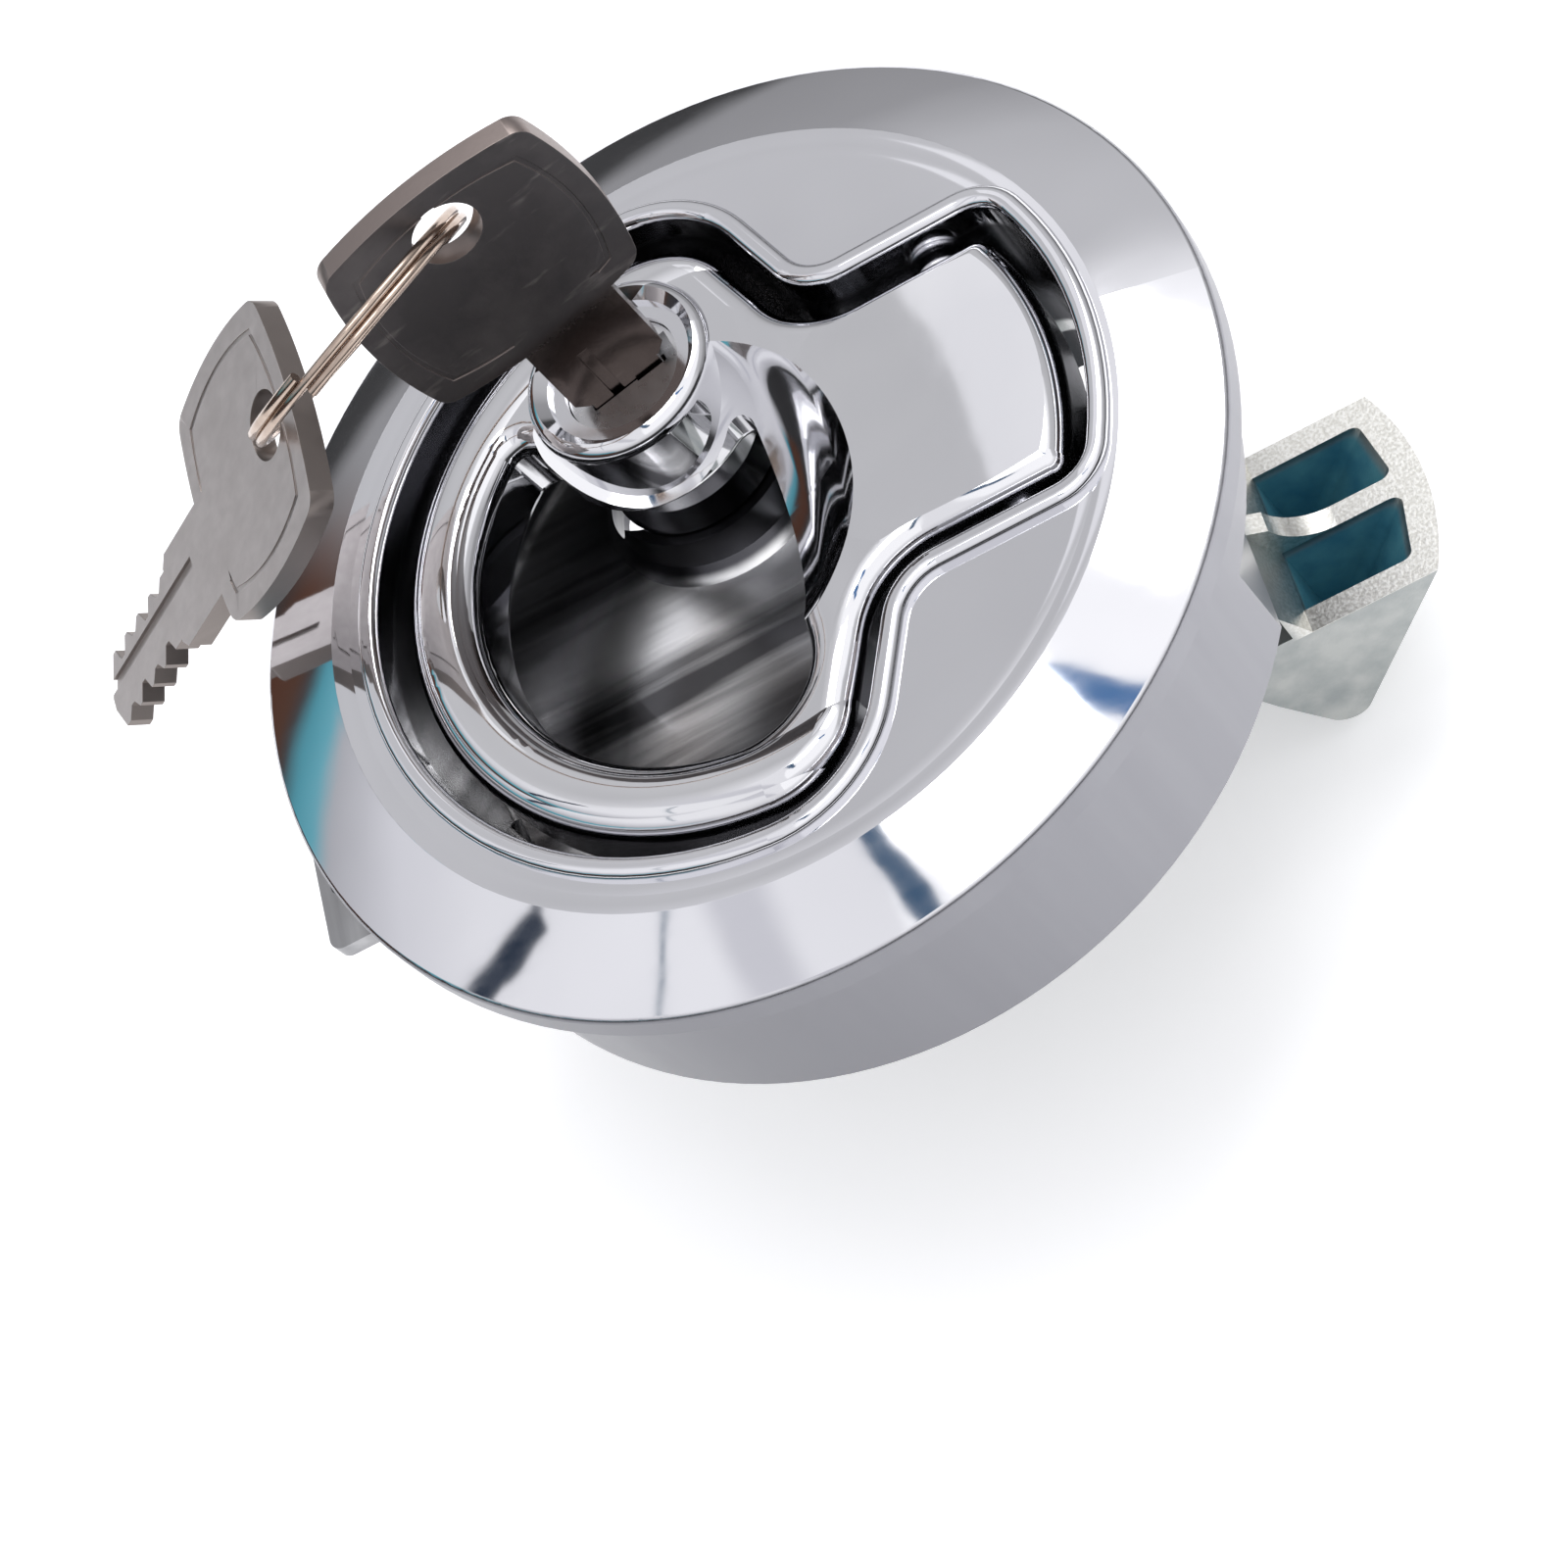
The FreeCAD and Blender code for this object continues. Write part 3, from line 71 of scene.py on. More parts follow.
SENSOR_WIDTH = 36.0
LENS_LENGTH = 89.564
camera_place = mm(73.576, -183.242, 223.373)
camera_right = Vector((0.85994, -0.22982, -0.45574))
camera_up = Vector((0.43639, 0.79413, 0.42298))
camera_back = camera_right.cross(camera_up).normalized()
camera_up = camera_back.cross(camera_right).normalized()
turn = Matrix((camera_right.normalized(), camera_up, camera_back)).transposed()
bpy.ops.object.camera_add()
camera = bpy.context.object
camera.name = "photo_camera"
camera.matrix_world = Matrix.Translation(camera_place) @ turn.to_4x4()
camera.data.sensor_width = SENSOR_WIDTH
camera.data.sensor_fit = "AUTO"
camera.data.lens = LENS_LENGTH
camera.data.clip_start = 10 * MM
bpy.context.scene.camera = camera
bpy.context.scene.view_settings.view_transform = "Standard"


# Studio
# A pale floor under the bolt's toe, in a grey room with a white ceiling panel
# that has blue edges, which is what the polished chrome shows.
def node_tree_of(owner):
    """The empty node tree of a material or of the world."""
    owner.use_nodes = True
    tree = owner.node_tree
    tree.nodes.clear()
    return tree


def new_node(tree, kind, place=(0, 0), **settings):
    """Adds a node at a place in the tree, with its settings."""
    node = tree.nodes.new(kind)
    node.location = place
    for name, value in settings.items():
        setattr(node, name, value)
    return node


def feed(tree, socket, value):
    """Links an output to a socket, or writes a number or a colour on it."""
    if isinstance(value, bpy.types.NodeSocket):
        tree.links.new(value, socket)
    elif isinstance(value, (int, float)):
        socket.default_value = value
    else:
        socket.default_value = (*value, 1)


def maths(tree, operation, first, second=0.0, clamp=False):
    """One operation on one or two values."""
    node = new_node(tree, "ShaderNodeMath", operation=operation, use_clamp=clamp)
    feed(tree, node.inputs[0], first)
    feed(tree, node.inputs[1], second)
    return node.outputs[0]


def product(tree, first, *others):
    """Multiplies values, so that masks hold only where all of them do."""
    for other in others:
        first = maths(tree, "MULTIPLY", first, other)
    return first


def total(tree, first, *others):
    """Adds values."""
    for other in others:
        first = maths(tree, "ADD", first, other)
    return first


def rise(tree, value, low, high):
    """Goes smoothly from 0 to 1 while a value goes from low to high."""
    node = new_node(tree, "ShaderNodeMapRange", interpolation_type="SMOOTHSTEP")
    feed(tree, node.inputs["Value"], value)
    node.inputs["From Min"].default_value = low
    node.inputs["From Max"].default_value = high
    return node.outputs["Result"]


def between(tree, value, ends, soft):
    """1 between two ends, which are soft."""
    low, high = ends
    return product(tree, rise(tree, value, low - soft, low), rise(tree, value, high + soft, high))


def paint_over(tree, amount, under, over):
    """Lays one colour over another by an amount."""
    node = new_node(tree, "ShaderNodeMix", data_type="RGBA")
    colours_in = node.inputs[6], node.inputs[7]
    feed(tree, node.inputs["Factor"], amount)
    feed(tree, colours_in[0], under)
    feed(tree, colours_in[1], over)
    return node.outputs[2]


FLOOR_GAP = 0.5 * MM
FLOOR_SIZE = 6.0
FLOOR_COLOUR = (0.86, 0.86, 0.87)
FLOOR_GLOW = 0.42
floor_z = cad_box[0].z - FLOOR_GAP
bpy.ops.mesh.primitive_plane_add(size=FLOOR_SIZE, location=(0, 0, floor_z))
floor = bpy.context.object
floor.name = "studio_floor"
floor_paint = bpy.data.materials.new("floor_paint")
tree = node_tree_of(floor_paint)
light_path = new_node(tree, "ShaderNodeLightPath", (-600, 200))
paint = new_node(tree, "ShaderNodeBsdfDiffuse", (-400, 0))
paint.inputs["Color"].default_value = (*FLOOR_COLOUR, 1)
glow = new_node(tree, "ShaderNodeEmission", (-400, -200))
glow.inputs["Color"].default_value = (1, 1, 1, 1)
glow.inputs["Strength"].default_value = FLOOR_GLOW
seen = maths(tree, "MAXIMUM", light_path.outputs["Is Camera Ray"], light_path.outputs["Is Transmission Ray"])
seen = maths(tree, "MAXIMUM", seen, light_path.outputs["Is Glossy Ray"])
bright = new_node(tree, "ShaderNodeAddShader", (-200, -100))
tree.links.new(paint.outputs[0], bright.inputs[0])
tree.links.new(glow.outputs[0], bright.inputs[1])
mix = new_node(tree, "ShaderNodeMixShader", (0, 0))
tree.links.new(seen, mix.inputs["Fac"])
tree.links.new(paint.outputs[0], mix.inputs[1])
tree.links.new(bright.outputs[0], mix.inputs[2])
out = new_node(tree, "ShaderNodeOutputMaterial", (200, 0))
tree.links.new(mix.outputs[0], out.inputs["Surface"])
floor.data.materials.append(floor_paint)


def wall_of_tones(tree, height, place, lowest, highest, steps):
    """A wall whose colour changes with height, from 0 at the floor to 1 overhead."""
    wall = new_node(tree, "ShaderNodeValToRGB", place)
    tree.links.new(height, wall.inputs["Fac"])
    ramp = wall.color_ramp
    ramp.elements[0].color = (*lowest, 1)
    ramp.elements[1].position = 1.0
    ramp.elements[1].color = (*highest, 1)
    for step_height, tone in steps:
        ramp.elements.new(step_height).color = (*tone, 1)
    return wall.outputs["Color"]


def cool_greys(levels):
    """Steps of grey with a little blue in it."""
    return [(height, (level, level, level * 1.03)) for height, level in levels]


world = bpy.data.worlds.new("studio_room")
bpy.context.scene.world = world
tree = node_tree_of(world)
room_way = new_node(tree, "ShaderNodeTexCoord", (-1200, 0))
room_split = new_node(tree, "ShaderNodeSeparateXYZ", (-1000, 0))
tree.links.new(room_way.outputs["Generated"], room_split.inputs[0])
way_x, way_y, way_z = room_split.outputs

FAR_WALL_LEVELS = (
    (0.03, 0.05),
    (0.10, 0.06),
    (0.15, 0.33),
    (0.30, 0.37),
    (0.42, 0.56),
    (0.56, 0.62),
    (0.70, 0.64),
    (0.80, 0.60),
)
NEAR_WALL_LEVELS = ((0.05, 0.04), (0.26, 0.05), (0.34, 0.60), (0.50, 0.85), (0.60, 0.90))
LEFT_WALL_TONES = (
    (0.14, (0.05, 0.045, 0.045)),
    (0.21, (0.10, 0.045, 0.03)),
    (0.27, (0.10, 0.05, 0.035)),
    (0.30, (0.07, 0.06, 0.06)),
    (0.335, (0.10, 0.36, 0.44)),
    (0.385, (0.16, 0.46, 0.55)),
    (0.42, (0.50, 0.50, 0.53)),
    (0.56, (0.78, 0.78, 0.82)),
)
far_wall = wall_of_tones(
    tree, way_z, (-700, 200), (0.30, 0.30, 0.32), (0.72, 0.72, 0.74), cool_greys(FAR_WALL_LEVELS)
)
near_wall = wall_of_tones(
    tree, way_z, (-700, -200), (0.28, 0.28, 0.31), (0.95, 0.95, 0.97), cool_greys(NEAR_WALL_LEVELS)
)
left_wall = wall_of_tones(
    tree, way_z, (-700, -600), (0.04, 0.04, 0.05), (0.9, 0.9, 0.92), LEFT_WALL_TONES
)
is_near = rise(tree, way_y, -0.05, -0.30)
is_left = rise(tree, way_x, -0.52, -0.66)
room_colour = paint_over(tree, is_near, far_wall, near_wall)
room_colour = paint_over(tree, is_left, room_colour, left_wall)

# The ceiling is laid out on a plane overhead: U runs to the right, and V away
# from the camera, both in shares of the ceiling's height.
CEILING_LEAST_Z = 0.05
CEILING_STARTS = (0.55, 0.70)
PANEL_SLANT = 1.1
PANEL_FAR_EDGE = (0.68, 0.10)
PANEL_U = (-0.17, 1.2)
NEAR_PANEL_U = (-0.18, 0.2)
NEAR_PANEL_V = (0.68, 1.02)
BAND_U = (-0.46, -0.40)
BAND_STRENGTH = 0.55
overhead = maths(tree, "MAXIMUM", way_z, CEILING_LEAST_Z)
ceiling_u = maths(tree, "DIVIDE", way_x, overhead)
ceiling_v = maths(tree, "DIVIDE", way_y, overhead)
toward_right = maths(tree, "MULTIPLY", ceiling_u, PANEL_SLANT, clamp=True)
depth_of_light = maths(tree, "SUBTRACT", ceiling_v, toward_right)
lit = product(tree, rise(tree, depth_of_light, *PANEL_FAR_EDGE), rise(tree, way_z, *CEILING_STARTS))
near_panel = product(
    tree, between(tree, ceiling_u, NEAR_PANEL_U, 0.012), between(tree, ceiling_v, NEAR_PANEL_V, 0.05)
)
room_colour = paint_over(tree, near_panel, room_colour, (0.95, 0.95, 0.98))
room_colour = paint_over(tree, lit, room_colour, (0.96, 0.96, 0.99))
panel = product(tree, between(tree, ceiling_u, PANEL_U, 0.02), lit)
room_colour = paint_over(tree, panel, room_colour, (1.2, 1.2, 1.22))
soft_bands = product(tree, between(tree, ceiling_u, BAND_U, 0.06), lit, BAND_STRENGTH)
room_colour = paint_over(tree, soft_bands, room_colour, (0.50, 0.50, 0.56))

# Three leaning strips and a dark far edge, with edges that waver a little.
# Each strip: its lean along U and V, its two sides, its two ends and its tone.
WAVER_SCALE = 9.0
WAVER_SIZE = 0.035
STRIPS = (
    (0.47, 1.0, (0.118, 0.180), (0.12, 0.44), (0.07, 0.19, 0.42)),
    (1.0, 0.26, (-0.195, -0.152), (-0.40, 0.06), (0.05, 0.11, 0.20)),
    (1.0, -0.67, (-0.600, -0.588), (-0.60, 0.08), (0.25, 0.30, 0.36)),
)
FAR_EDGE_V = (0.185, 0.245)
FAR_EDGE_U = (-2.2, -0.85)
waver_noise = new_node(tree, "ShaderNodeTexNoise", (-900, -900))
waver_noise.inputs["Scale"].default_value = WAVER_SCALE
tree.links.new(room_way.outputs["Generated"], waver_noise.inputs["Vector"])
waver = product(tree, maths(tree, "SUBTRACT", waver_noise.outputs["Fac"], 0.5), WAVER_SIZE)
strip_u = total(tree, ceiling_u, waver)
strip_v = total(tree, ceiling_v, waver)
for lean_u, lean_v, sides, ends, tone in STRIPS:
    across = total(tree, product(tree, strip_u, lean_u), product(tree, strip_v, lean_v))
    along = ceiling_u if lean_v == 1.0 else ceiling_v
    strip = product(tree, between(tree, across, sides, 0.004), between(tree, along, ends, 0.008))
    room_colour = paint_over(tree, strip, room_colour, tone)
far_edge = product(
    tree, between(tree, strip_v, FAR_EDGE_V, 0.012), between(tree, ceiling_u, FAR_EDGE_U, 0.02)
)
room_colour = paint_over(tree, far_edge, room_colour, (0.012, 0.025, 0.05))
room = new_node(tree, "ShaderNodeBackground", (0, 0))
room.inputs["Strength"].default_value = 1.0
tree.links.new(room_colour, room.inputs["Color"])
white = new_node(tree, "ShaderNodeBackground", (0, -200))
white.inputs["Color"].default_value = (1, 1, 1, 1)
white.inputs["Strength"].default_value = 1.0
light_path = new_node(tree, "ShaderNodeLightPath", (0, 300))
mix = new_node(tree, "ShaderNodeMixShader", (300, 0))
tree.links.new(light_path.outputs["Is Camera Ray"], mix.inputs["Fac"])
tree.links.new(room.outputs[0], mix.inputs[1])
tree.links.new(white.outputs[0], mix.inputs[2])
out = new_node(tree, "ShaderNodeOutputWorld", (500, 0))
tree.links.new(mix.outputs[0], out.inputs["Surface"])


def soft_lamp(name, place, size, power):
    """A square studio lamp that looks at the latch."""
    bpy.ops.object.light_add(type="AREA", location=place)
    lamp = bpy.context.object
    lamp.name = name
    lamp.data.size = size
    lamp.data.energy = power
    lamp.rotation_euler = Vector(place).to_track_quat("Z", "Y").to_euler()


soft_lamp("lamp_over", place=(0.02, 0.01, 0.90), size=0.30, power=1.1)
soft_lamp("lamp_right", place=(0.33, 0.40, 0.78), size=0.42, power=2.0)


# Bezel and body
# One zinc die casting. The cone and the lip are polished and chrome plated, the
# body's side is left satin, and the well keeps the brushed marks of the tool.
def metal(name, colour, roughness):
    """A bare metal: returns the material, its tree and its shader."""
    material = bpy.data.materials.new(name)
    tree = node_tree_of(material)
    shader = new_node(tree, "ShaderNodeBsdfPrincipled", (600, 0))
    shader.inputs["Base Color"].default_value = (*colour, 1)
    shader.inputs["Metallic"].default_value = 1.0
    shader.inputs["Roughness"].default_value = roughness
    out = new_node(tree, "ShaderNodeOutputMaterial", (900, 0))
    tree.links.new(shader.outputs[0], out.inputs["Surface"])
    return material, tree, shader


def own_axes(tree):
    """The piece's own coordinates, in metres."""
    where = new_node(tree, "ShaderNodeTexCoord", (-1400, 0))
    split = new_node(tree, "ShaderNodeSeparateXYZ", (-1200, 0))
    tree.links.new(where.outputs["Object"], split.inputs[0])
    return split.outputs[0], split.outputs[1], split.outputs[2]


def from_axis(tree, first, second):
    """The distance from an axis, out of the two coordinates across it."""
    return maths(tree, "SQRT", total(tree, product(tree, first, first), product(tree, second, second)))


def grain(tree, scale, stretch=(1, 1, 1), detail=3.0, turn=(0, 0, 0)):
    """A noise on the piece's own coordinates, drawn out along its axes."""
    where = new_node(tree, "ShaderNodeTexCoord", (-1400, -400))
    mapping = new_node(tree, "ShaderNodeMapping", (-1200, -400))
    mapping.inputs["Scale"].default_value = stretch
    mapping.inputs["Rotation"].default_value = turn
    noise = new_node(tree, "ShaderNodeTexNoise", (-1000, -400))
    noise.inputs["Scale"].default_value = scale
    noise.inputs["Detail"].default_value = detail
    tree.links.new(where.outputs["Object"], mapping.inputs["Vector"])
    tree.links.new(mapping.outputs[0], noise.inputs["Vector"])
    return noise.outputs["Fac"]


def spread(tree, source, low, high, least=0.0, most=1.0):
    """Maps a value that goes from least to most onto low to high."""
    mapped = new_node(tree, "ShaderNodeMapRange")
    mapped.inputs["From Min"].default_value = least
    mapped.inputs["From Max"].default_value = most
    mapped.inputs["To Min"].default_value = low
    mapped.inputs["To Max"].default_value = high
    tree.links.new(source, mapped.inputs["Value"])
    return mapped.outputs["Result"]


def mottled(tree, source, least, most, tones):
    """Goes from one tone to another while a grain goes from least to most."""
    return paint_over(tree, spread(tree, source, 0.0, 1.0, least, most), *tones)


def bump(tree, shader, source, height, strength=1.0):
    """Bends the light as if the surface were raised by a value times a height in metres."""
    raised = new_node(tree, "ShaderNodeBump", (300, -300))
    raised.inputs["Strength"].default_value = strength
    raised.inputs["Distance"].default_value = height
    tree.links.new(source, raised.inputs["Height"])
    tree.links.new(raised.outputs[0], shader.inputs["Normal"])


def relief(tree, shader, height):
    """Bends the light as if the surface were raised by a height in metres."""
    bump(tree, shader, height, 1.0)


def sag(tree, off, radius):
    """How deep an arc of a radius has turned down at a distance off its top."""
    return product(tree, product(tree, off, off), -0.5 / radius)


def crown(tree, value, middle, radius, reach):
    """The height of a crown of a radius about a middle, as far as a reach."""
    off = maths(tree, "SUBTRACT", value, middle)
    off = maths(tree, "MAXIMUM", maths(tree, "MINIMUM", off, reach), -reach)
    return sag(tree, off, radius)


def brow(tree, value, start, radius, reach):
    """The height of a surface that turns down from a start, as far as a reach."""
    off = maths(tree, "MAXIMUM", maths(tree, "SUBTRACT", value, start), 0.0)
    return sag(tree, maths(tree, "MINIMUM", off, reach), radius)


def dress(node_name, material):
    """Puts a material on every slot of a CAD node, and returns the node."""
    piece = nodes[node_name]
    for slot in piece.material_slots:
        slot.material = material
    return piece


BODY_SIDE_R = 36.7 * MM
BODY_FLAT_X = 33.25 * MM
LIP_R = 40.7 * MM
LIP_TOP = 2.55 * MM
WELL_TOP = 2.2 * MM
WELL_R = 35.5 * MM
FLOOR_TOP_Z = -11.9 * MM
FLOOR_BACK_Z = -12.8 * MM
PLATE_TONES = (0.80, 0.80, 0.83), (0.755, 0.755, 0.785)
SATIN_TONES = (0.33, 0.33, 0.355), (0.37, 0.37, 0.395)
SATIN_PAINTED_SHADE = (0.13, 0.13, 0.145)
WELL_TONES = (0.10, 0.10, 0.105), (1.0, 1.0, 1.0)
WELL_SMEAR = (0.07, 0.07, 0.075)
WELL_WALL_PAINTED_SHADE = (0.10, 0.10, 0.11)
bezel_chrome, tree, shader = metal("bezel_chrome", (0.80, 0.80, 0.83), 0.05)
x, y, z = own_axes(tree)
radius = from_axis(tree, x, y)
round_side = rise(tree, radius, BODY_SIDE_R - 0.2 * MM, BODY_SIDE_R)
flats = rise(tree, maths(tree, "ABSOLUTE", x), BODY_FLAT_X - 0.05 * MM, BODY_FLAT_X)
below_flange = rise(tree, z, 0.3 * MM, -0.1 * MM)
side = product(tree, maths(tree, "MAXIMUM", round_side, flats), below_flange)
lip = product(tree, rise(tree, radius, LIP_R - 0.4 * MM, LIP_R), rise(tree, z, LIP_TOP, LIP_TOP - 0.25 * MM))
side = maths(tree, "MAXIMUM", side, lip)
not_side = maths(tree, "SUBTRACT", 1.0, side)
inside = product(tree, rise(tree, z, WELL_TOP + 1.0 * MM, WELL_TOP), not_side)
inside = product(tree, inside, rise(tree, radius, WELL_R + 0.4 * MM, WELL_R))
above_back = rise(tree, z, FLOOR_BACK_Z - 0.4 * MM, FLOOR_BACK_Z)
on_floor = product(tree, rise(tree, z, FLOOR_TOP_Z + 0.7 * MM, FLOOR_TOP_Z), above_back)

clouds = grain(tree, 55.0, detail=2.0)
hairlines = grain(tree, 900.0, stretch=(0.35, 1, 1), detail=5.0)
satin_streaks = grain(tree, 260.0, stretch=(1, 1, 0.06), detail=4.0)
brushed = grain(tree, 210.0, stretch=(0.06, 1, 1), detail=6.0)
smears = grain(tree, 75.0, stretch=(0.45, 1, 1), detail=1.5)
plate = mottled(tree, clouds, 0.35, 0.65, PLATE_TONES)
satin = mottled(tree, satin_streaks, 0.3, 0.7, SATIN_TONES)
# Painted shade: the satin side is painted darker towards the left (-X), for the shade that falls there.
painted_side_shade = spread(tree, x, 0.62, 0.0, -15.0 * MM, 36.0 * MM)
satin = paint_over(tree, painted_side_shade, satin, SATIN_PAINTED_SHADE)
well = mottled(tree, brushed, 0.36, 0.57, WELL_TONES)
well = paint_over(tree, spread(tree, smears, 0.8, 0.0, 0.36, 0.50), well, WELL_SMEAR)
# Painted shade: the well's walls, off its floor, are painted near black for the shade in the recess.
well = paint_over(tree, maths(tree, "SUBTRACT", 1.0, on_floor), well, WELL_WALL_PAINTED_SHADE)
colour = paint_over(tree, inside, paint_over(tree, side, plate, satin), well)
tree.links.new(colour, shader.inputs["Base Color"])

polish = spread(tree, hairlines, 0.035, 0.085)
side_duller = maths(tree, "SUBTRACT", spread(tree, satin_streaks, 0.27, 0.40), polish)
well_duller = maths(tree, "SUBTRACT", spread(tree, brushed, 0.14, 0.30), polish)
finish = total(tree, polish, product(tree, side, side_duller), product(tree, inside, well_duller))
tree.links.new(finish, shader.inputs["Roughness"])

waves = product(tree, clouds, 0.10 * MM)
brush_marks = product(tree, brushed, inside, on_floor, 0.05 * MM)
satin_marks = product(tree, satin_streaks, side, 0.01 * MM)
cone_bend = brow(tree, radius, start=34.0 * MM, radius=100.0 * MM, reach=7.5 * MM)
face_edge = brow(tree, radius, start=31.0 * MM, radius=11.0 * MM, reach=2.5 * MM)
relief(tree, shader, total(tree, waves, brush_marks, satin_marks, cone_bend, face_edge))
dress("housing", bezel_chrome)

# Pull
# A second casting, chrome plated all over: a ring for the fingers, a fishtail
# over the bay, the lock's collar, and the trip arm that lifts the bolt's tail.
UNDERSIDE_Z = -2.0 * MM
RING_X = 6.0 * MM
PULL_TONES = (0.80, 0.80, 0.82), (0.75, 0.75, 0.775)
PULL_UNDERSIDE = (0.42, 0.42, 0.44)
pull_chrome, tree, shader = metal("pull_chrome", (0.80, 0.80, 0.82), 0.05)
x, y, z = own_axes(tree)
clouds = grain(tree, 70.0, detail=2.0)
hairlines = grain(tree, 1100.0, stretch=(1, 0.4, 1), detail=5.0)
under = rise(tree, z, UNDERSIDE_Z + 0.8 * MM, UNDERSIDE_Z)
colour = paint_over(tree, under, mottled(tree, clouds, 0.35, 0.65, PULL_TONES), PULL_UNDERSIDE)
tree.links.new(colour, shader.inputs["Base Color"])
finish = total(tree, spread(tree, hairlines, 0.03, 0.08), product(tree, under, 0.22))
tree.links.new(finish, shader.inputs["Roughness"])
ring_crown = crown(tree, from_axis(tree, x, y), middle=24.0 * MM, radius=5.5 * MM, reach=1.8 * MM)
ring_crown = product(tree, ring_crown, rise(tree, x, RING_X + 4.0 * MM, RING_X))
tail_bend = brow(tree, x, start=17.2 * MM, radius=95.0 * MM, reach=14.0 * MM)
relief(tree, shader, total(tree, product(tree, clouds, 0.07 * MM), ring_crown, tail_bend))
dress("pull_handle", pull_chrome)


# Pivot pins and their clips
# Ground steel pins with turned heads, held by clips that push on from the side.
def worked_metal(name, colour, roughness, marks, tones, polish, depth):
    """A bare metal in which one grain gives the tone, the polish and the depth of its marks."""
    material, tree, shader = metal(name, colour, roughness)
    pattern = grain(tree, **marks)
    tree.links.new(paint_over(tree, pattern, *tones), shader.inputs["Base Color"])
    tree.links.new(spread(tree, pattern, *polish), shader.inputs["Roughness"])
    bump(tree, shader, pattern, depth, 0.5)
    return material


pin_steel, tree, shader = metal("pin_steel", (0.60, 0.61, 0.64), 0.22)
ground = grain(tree, 1500.0, stretch=(1, 0.05, 1), detail=4.0)
stain = grain(tree, 240.0, detail=2.0)
tree.links.new(paint_over(tree, stain, (0.64, 0.65, 0.68), (0.50, 0.50, 0.52)), shader.inputs["Base Color"])
tree.links.new(spread(tree, ground, 0.14, 0.34), shader.inputs["Roughness"])
bump(tree, shader, ground, 0.01 * MM, 0.5)
for name in ("handle_pin", "bolt_pin"):
    dress(name, pin_steel)
clip_steel = worked_metal(
    "clip_steel",
    (0.30, 0.30, 0.32),
    0.32,
    marks={"scale": 700.0, "detail": 4.0},
    tones=((0.20, 0.20, 0.22), (0.40, 0.40, 0.41)),
    polish=(0.25, 0.42),
    depth=0.02 * MM,
)
for name in ("handle_pin_clip", "bolt_pin_clip"):
    dress(name, clip_steel)

# Return springs
# Torsion springs of drawn wire on the two pins. One leg of each bears on the
# casting, and the other on the pull's underside or in the bolt's notch.
SAME_PLACE = 0.001 * MM
spring_wire = worked_metal(
    "spring_wire",
    (0.62, 0.62, 0.64),
    0.24,
    marks={"scale": 1300.0, "stretch": (1, 1, 0.2), "detail": 4.0},
    tones=((0.72, 0.72, 0.74), (0.46, 0.46, 0.49)),
    polish=(0.16, 0.34),
    depth=0.015 * MM,
)


def pick(wanted):
    """Selects the points of the mesh being edited that pass a test."""
    bpy.ops.mesh.select_all(action="DESELECT")
    bpy.ops.object.mode_set(mode="OBJECT")
    mesh = bpy.context.object.data
    for point in mesh.vertices:
        point.select = wanted(point.co)
    bpy.ops.object.mode_set(mode="EDIT")


def wound_wire(name, wire, mean_r, turns, pitch, steps, first_leg, last_leg, to_place):
    """A wire wound along its own Y axis from +Z, with legs as steps from its two ends."""
    bpy.ops.object.select_all(action="DESELECT")
    bpy.ops.mesh.primitive_plane_add(size=0.2 * MM, location=(0, 0, 0))
    coil = bpy.context.object
    coil.name = name
    bpy.ops.object.mode_set(mode="EDIT")
    bpy.ops.mesh.select_all(action="SELECT")
    bpy.ops.mesh.merge(type="CENTER")
    bpy.ops.transform.translate(value=(0, 0, mean_r))
    bpy.ops.object.mode_set(mode="OBJECT")
    winding = coil.modifiers.new("winding", "SCREW")
    winding.axis = "Y"
    winding.angle = 2 * math.pi * turns
    winding.screw_offset = pitch * turns
    winding.steps = steps
    winding.render_steps = steps
    winding.use_merge_vertices = False
    bpy.ops.object.modifier_apply(modifier="winding")
    ends = [coil.data.vertices[0].co.copy(), coil.data.vertices[-1].co.copy()]
    bpy.ops.object.mode_set(mode="EDIT")
    bpy.ops.mesh.select_mode(type="VERT")
    for end, leg in zip(ends, (first_leg, last_leg)):
        if leg:
            pick(lambda co: (co - end).length < SAME_PLACE)
            for step in leg:
                bpy.ops.mesh.extrude_region_move(TRANSFORM_OT_translate={"value": step})
    bpy.ops.object.mode_set(mode="OBJECT")
    coil.data.transform(to_place)
    bpy.ops.object.convert(target="CURVE")
    coil = bpy.context.object
    coil.data.bevel_depth = wire / 2
    coil.data.bevel_resolution = 3
    coil.data.use_fill_caps = True
    bpy.ops.object.convert(target="MESH")
    coil = bpy.context.object
    bpy.ops.object.mode_set(mode="EDIT")
    bpy.ops.mesh.select_all(action="SELECT")
    bpy.ops.mesh.remove_doubles(threshold=SAME_PLACE)
    bpy.ops.mesh.normals_make_consistent(inside=False)
    bpy.ops.object.mode_set(mode="OBJECT")
    bpy.ops.object.shade_smooth_by_angle(angle=math.radians(50))
    return coil


